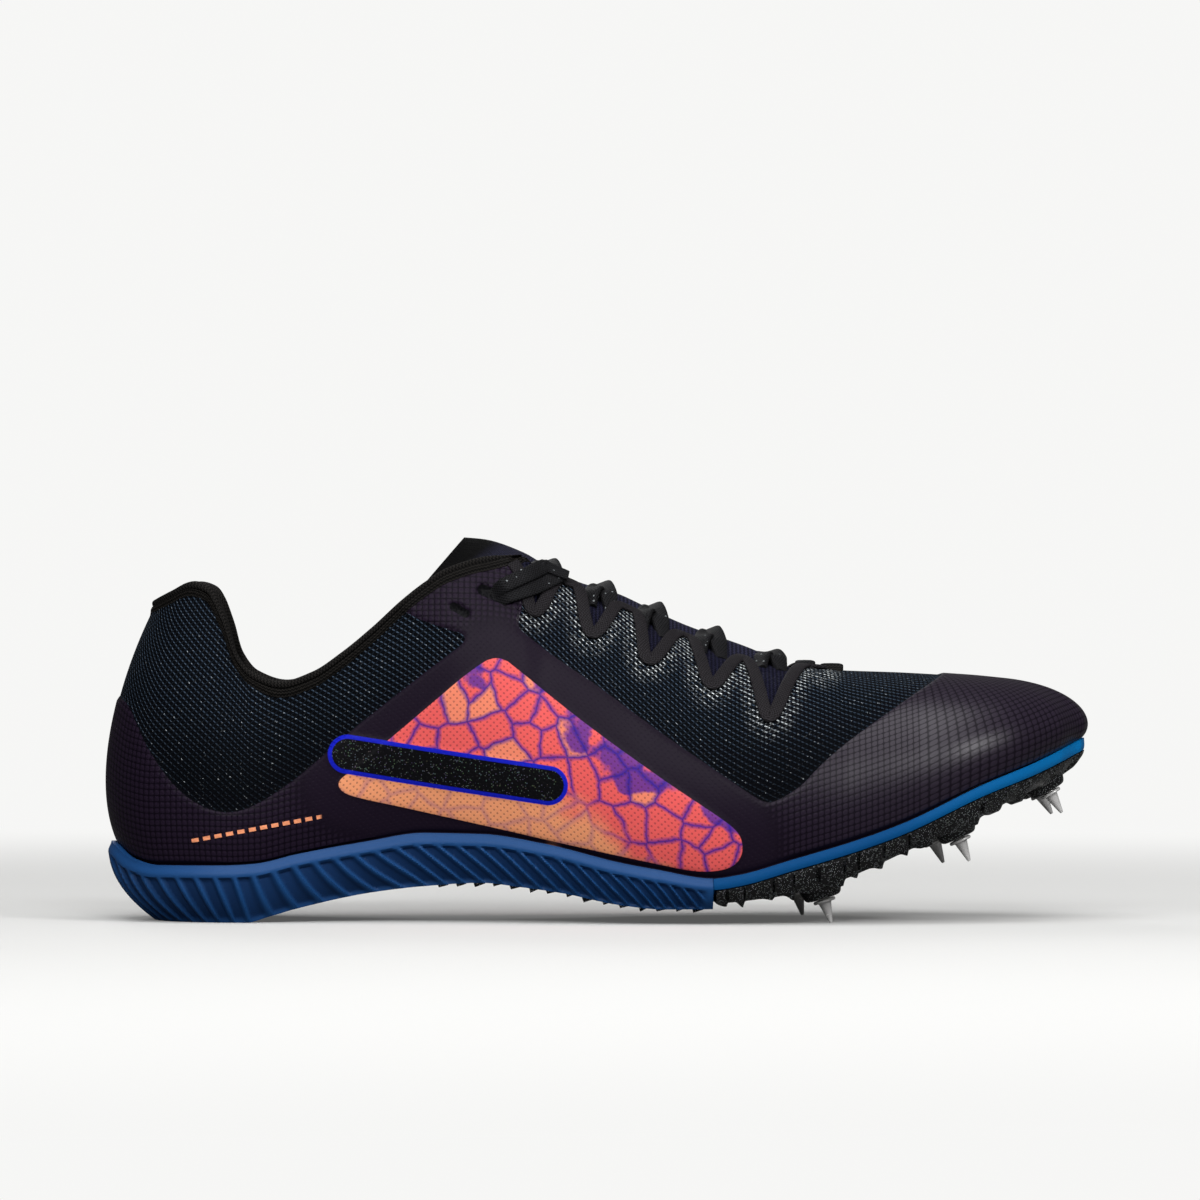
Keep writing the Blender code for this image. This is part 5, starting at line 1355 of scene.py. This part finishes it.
BASE = GAP + FLANGE_THICK
PIN_END = BASE + PIN_LENGTH
CONE = (   # radius and depth: stem, flange, cone
    (0.0, -STEM_LENGTH), (0.5 * STEM_WIDTH, -STEM_LENGTH), (0.5 * STEM_WIDTH, GAP),
    (0.46 * FLANGE_WIDTH, GAP), (0.5 * FLANGE_WIDTH, GAP + 0.0002), (0.5 * FLANGE_WIDTH, BASE - 0.0002),
    (0.46 * FLANGE_WIDTH, BASE), (0.54 * PIN_BASE, BASE), (0.50 * PIN_BASE, BASE + 0.0003),
    (0.56 * PIN_TIP, PIN_END - 0.0004), (0.40 * PIN_TIP, PIN_END), (0.0, PIN_END))
for name, place, aside, stands in SPIKES:
    seat, down = spike_seat(place, aside, stands)
    root = seat.z - 0.4 * PLATE_WALL - float(plate_under((place - HEEL_SEAT) * LENGTH))
    boss = [(0.0, root), (0.66 * BOSS_WIDTH, root), (0.55 * BOSS_WIDTH, -0.0008), (0.46 * BOSS_WIDTH, 0.0),
            (0.5 * FLANGE_WIDTH, 0.0), (0.0, 0.0)]
    add_turned("boss_" + name, soften(np.array(boss), closed=False), seat, down, plate_mat)
    add_turned("cone_" + name, CONE, seat, down, steel_mat, ("spike_" + name,))

# %% Sock liner
liner_mat, graph = new_material("sock_liner", Roughness=0.9)
grain = graph.grain(1500.0)
graph.shade(grain * 0.0002, Base_Color=graph.mix(grain, (0.006, 0.006, 0.008, 1), (0.018, 0.018, 0.022, 1)))
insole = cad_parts["insole"]
insole.data.materials.clear()
insole.data.materials.append(liner_mat)
print("sock liner faces:", len(insole.data.polygons))

# %% [markdown]
# ## Floor and light
# The picture is a studio one: a pale floor that meets a pale background without a line,
# broad soft lights from above and in front, and a soft shadow close under the shoe.
# The floor turns into the background's own brightness a little way off.  Only the
# camera sees that glow and the full background: light from them would grey the cloth.

# %% Floor
PAPER = (0.925, 0.925, 0.915, 1.0)
FLOOR_LIT, FLOOR_SEEN = (0.12, 0.12, 0.12, 1.0), (0.67, 0.67, 0.66, 1.0)
bpy.ops.mesh.primitive_plane_add(size=60.0, location=(0.0, 0.0, 0.0))
floor = bpy.context.object
floor.name = "floor"
floor_mat, graph = new_material("paper", Roughness=0.9, Specular_IOR_Level=0.1)
seen = graph.wire("ShaderNodeLightPath", None, "Is Camera Ray")
graph.shade(Base_Color=graph.mix(seen, FLOOR_LIT, FLOOR_SEEN))
away = graph.wire("ShaderNodeVectorMath", {0: graph.position()}, "Value", operation="LENGTH")
glow = graph.wire("ShaderNodeEmission", {"Color": PAPER, "Strength": seen * 0.9 + 0.1})
blend = {0: graph.ramp(away, 0.18, 0.90, 0.10, 1.0), 1: graph.shader.outputs[0], 2: glow}
output = floor_mat.node_tree.nodes["Material Output"]
graph.put(graph.wire("ShaderNodeMixShader", blend), output.inputs["Surface"])
floor.data.materials.append(floor_mat)

# %% Lights
FILL = 0.08   # how much of the background's brightness falls on the shoe
LAMPS = (     # name, place, point aimed at, size, watts
    ("above", (0.10, -0.25, 1.10), (0.10, 0.0, 0.0), 0.90, 8.5),
    ("front", (0.10, -1.50, 0.95), (0.10, 0.0, 0.0), 0.80, 16.0),
    ("front_left", (-0.60, -1.20, 0.75), (0.08, 0.0, 0.04), 0.30, 4.0),
    ("front_right", (0.95, -0.80, 0.70), (0.18, 0.0, 0.05), 0.30, 6.0),
    ("behind", (-0.30, 1.20, 0.80), (0.08, 0.0, 0.04), 0.50, 4.0),
)
bpy.context.scene.view_settings.view_transform = "Standard"
world = bpy.data.worlds.new("studio")
bpy.context.scene.world = world
world.use_nodes = True
graph = Graph(world.node_tree)
background = world.node_tree.nodes["Background"].inputs
background["Color"].default_value = PAPER
seen = graph.wire("ShaderNodeLightPath", None, "Is Camera Ray")
graph.put(seen * (1.0 - FILL) + FILL, background["Strength"])
for name, place, aim, size, power in LAMPS:
    light = bpy.data.lights.new(name, "AREA")
    light.size, light.energy = size, power
    lamp = bpy.data.objects.new(name, light)
    lamp.location = place
    lamp.rotation_euler = turn_to(Vector(aim) - Vector(place), "-Z").to_euler()
    bpy.context.scene.collection.objects.link(lamp)
print("lights:", len(LAMPS))
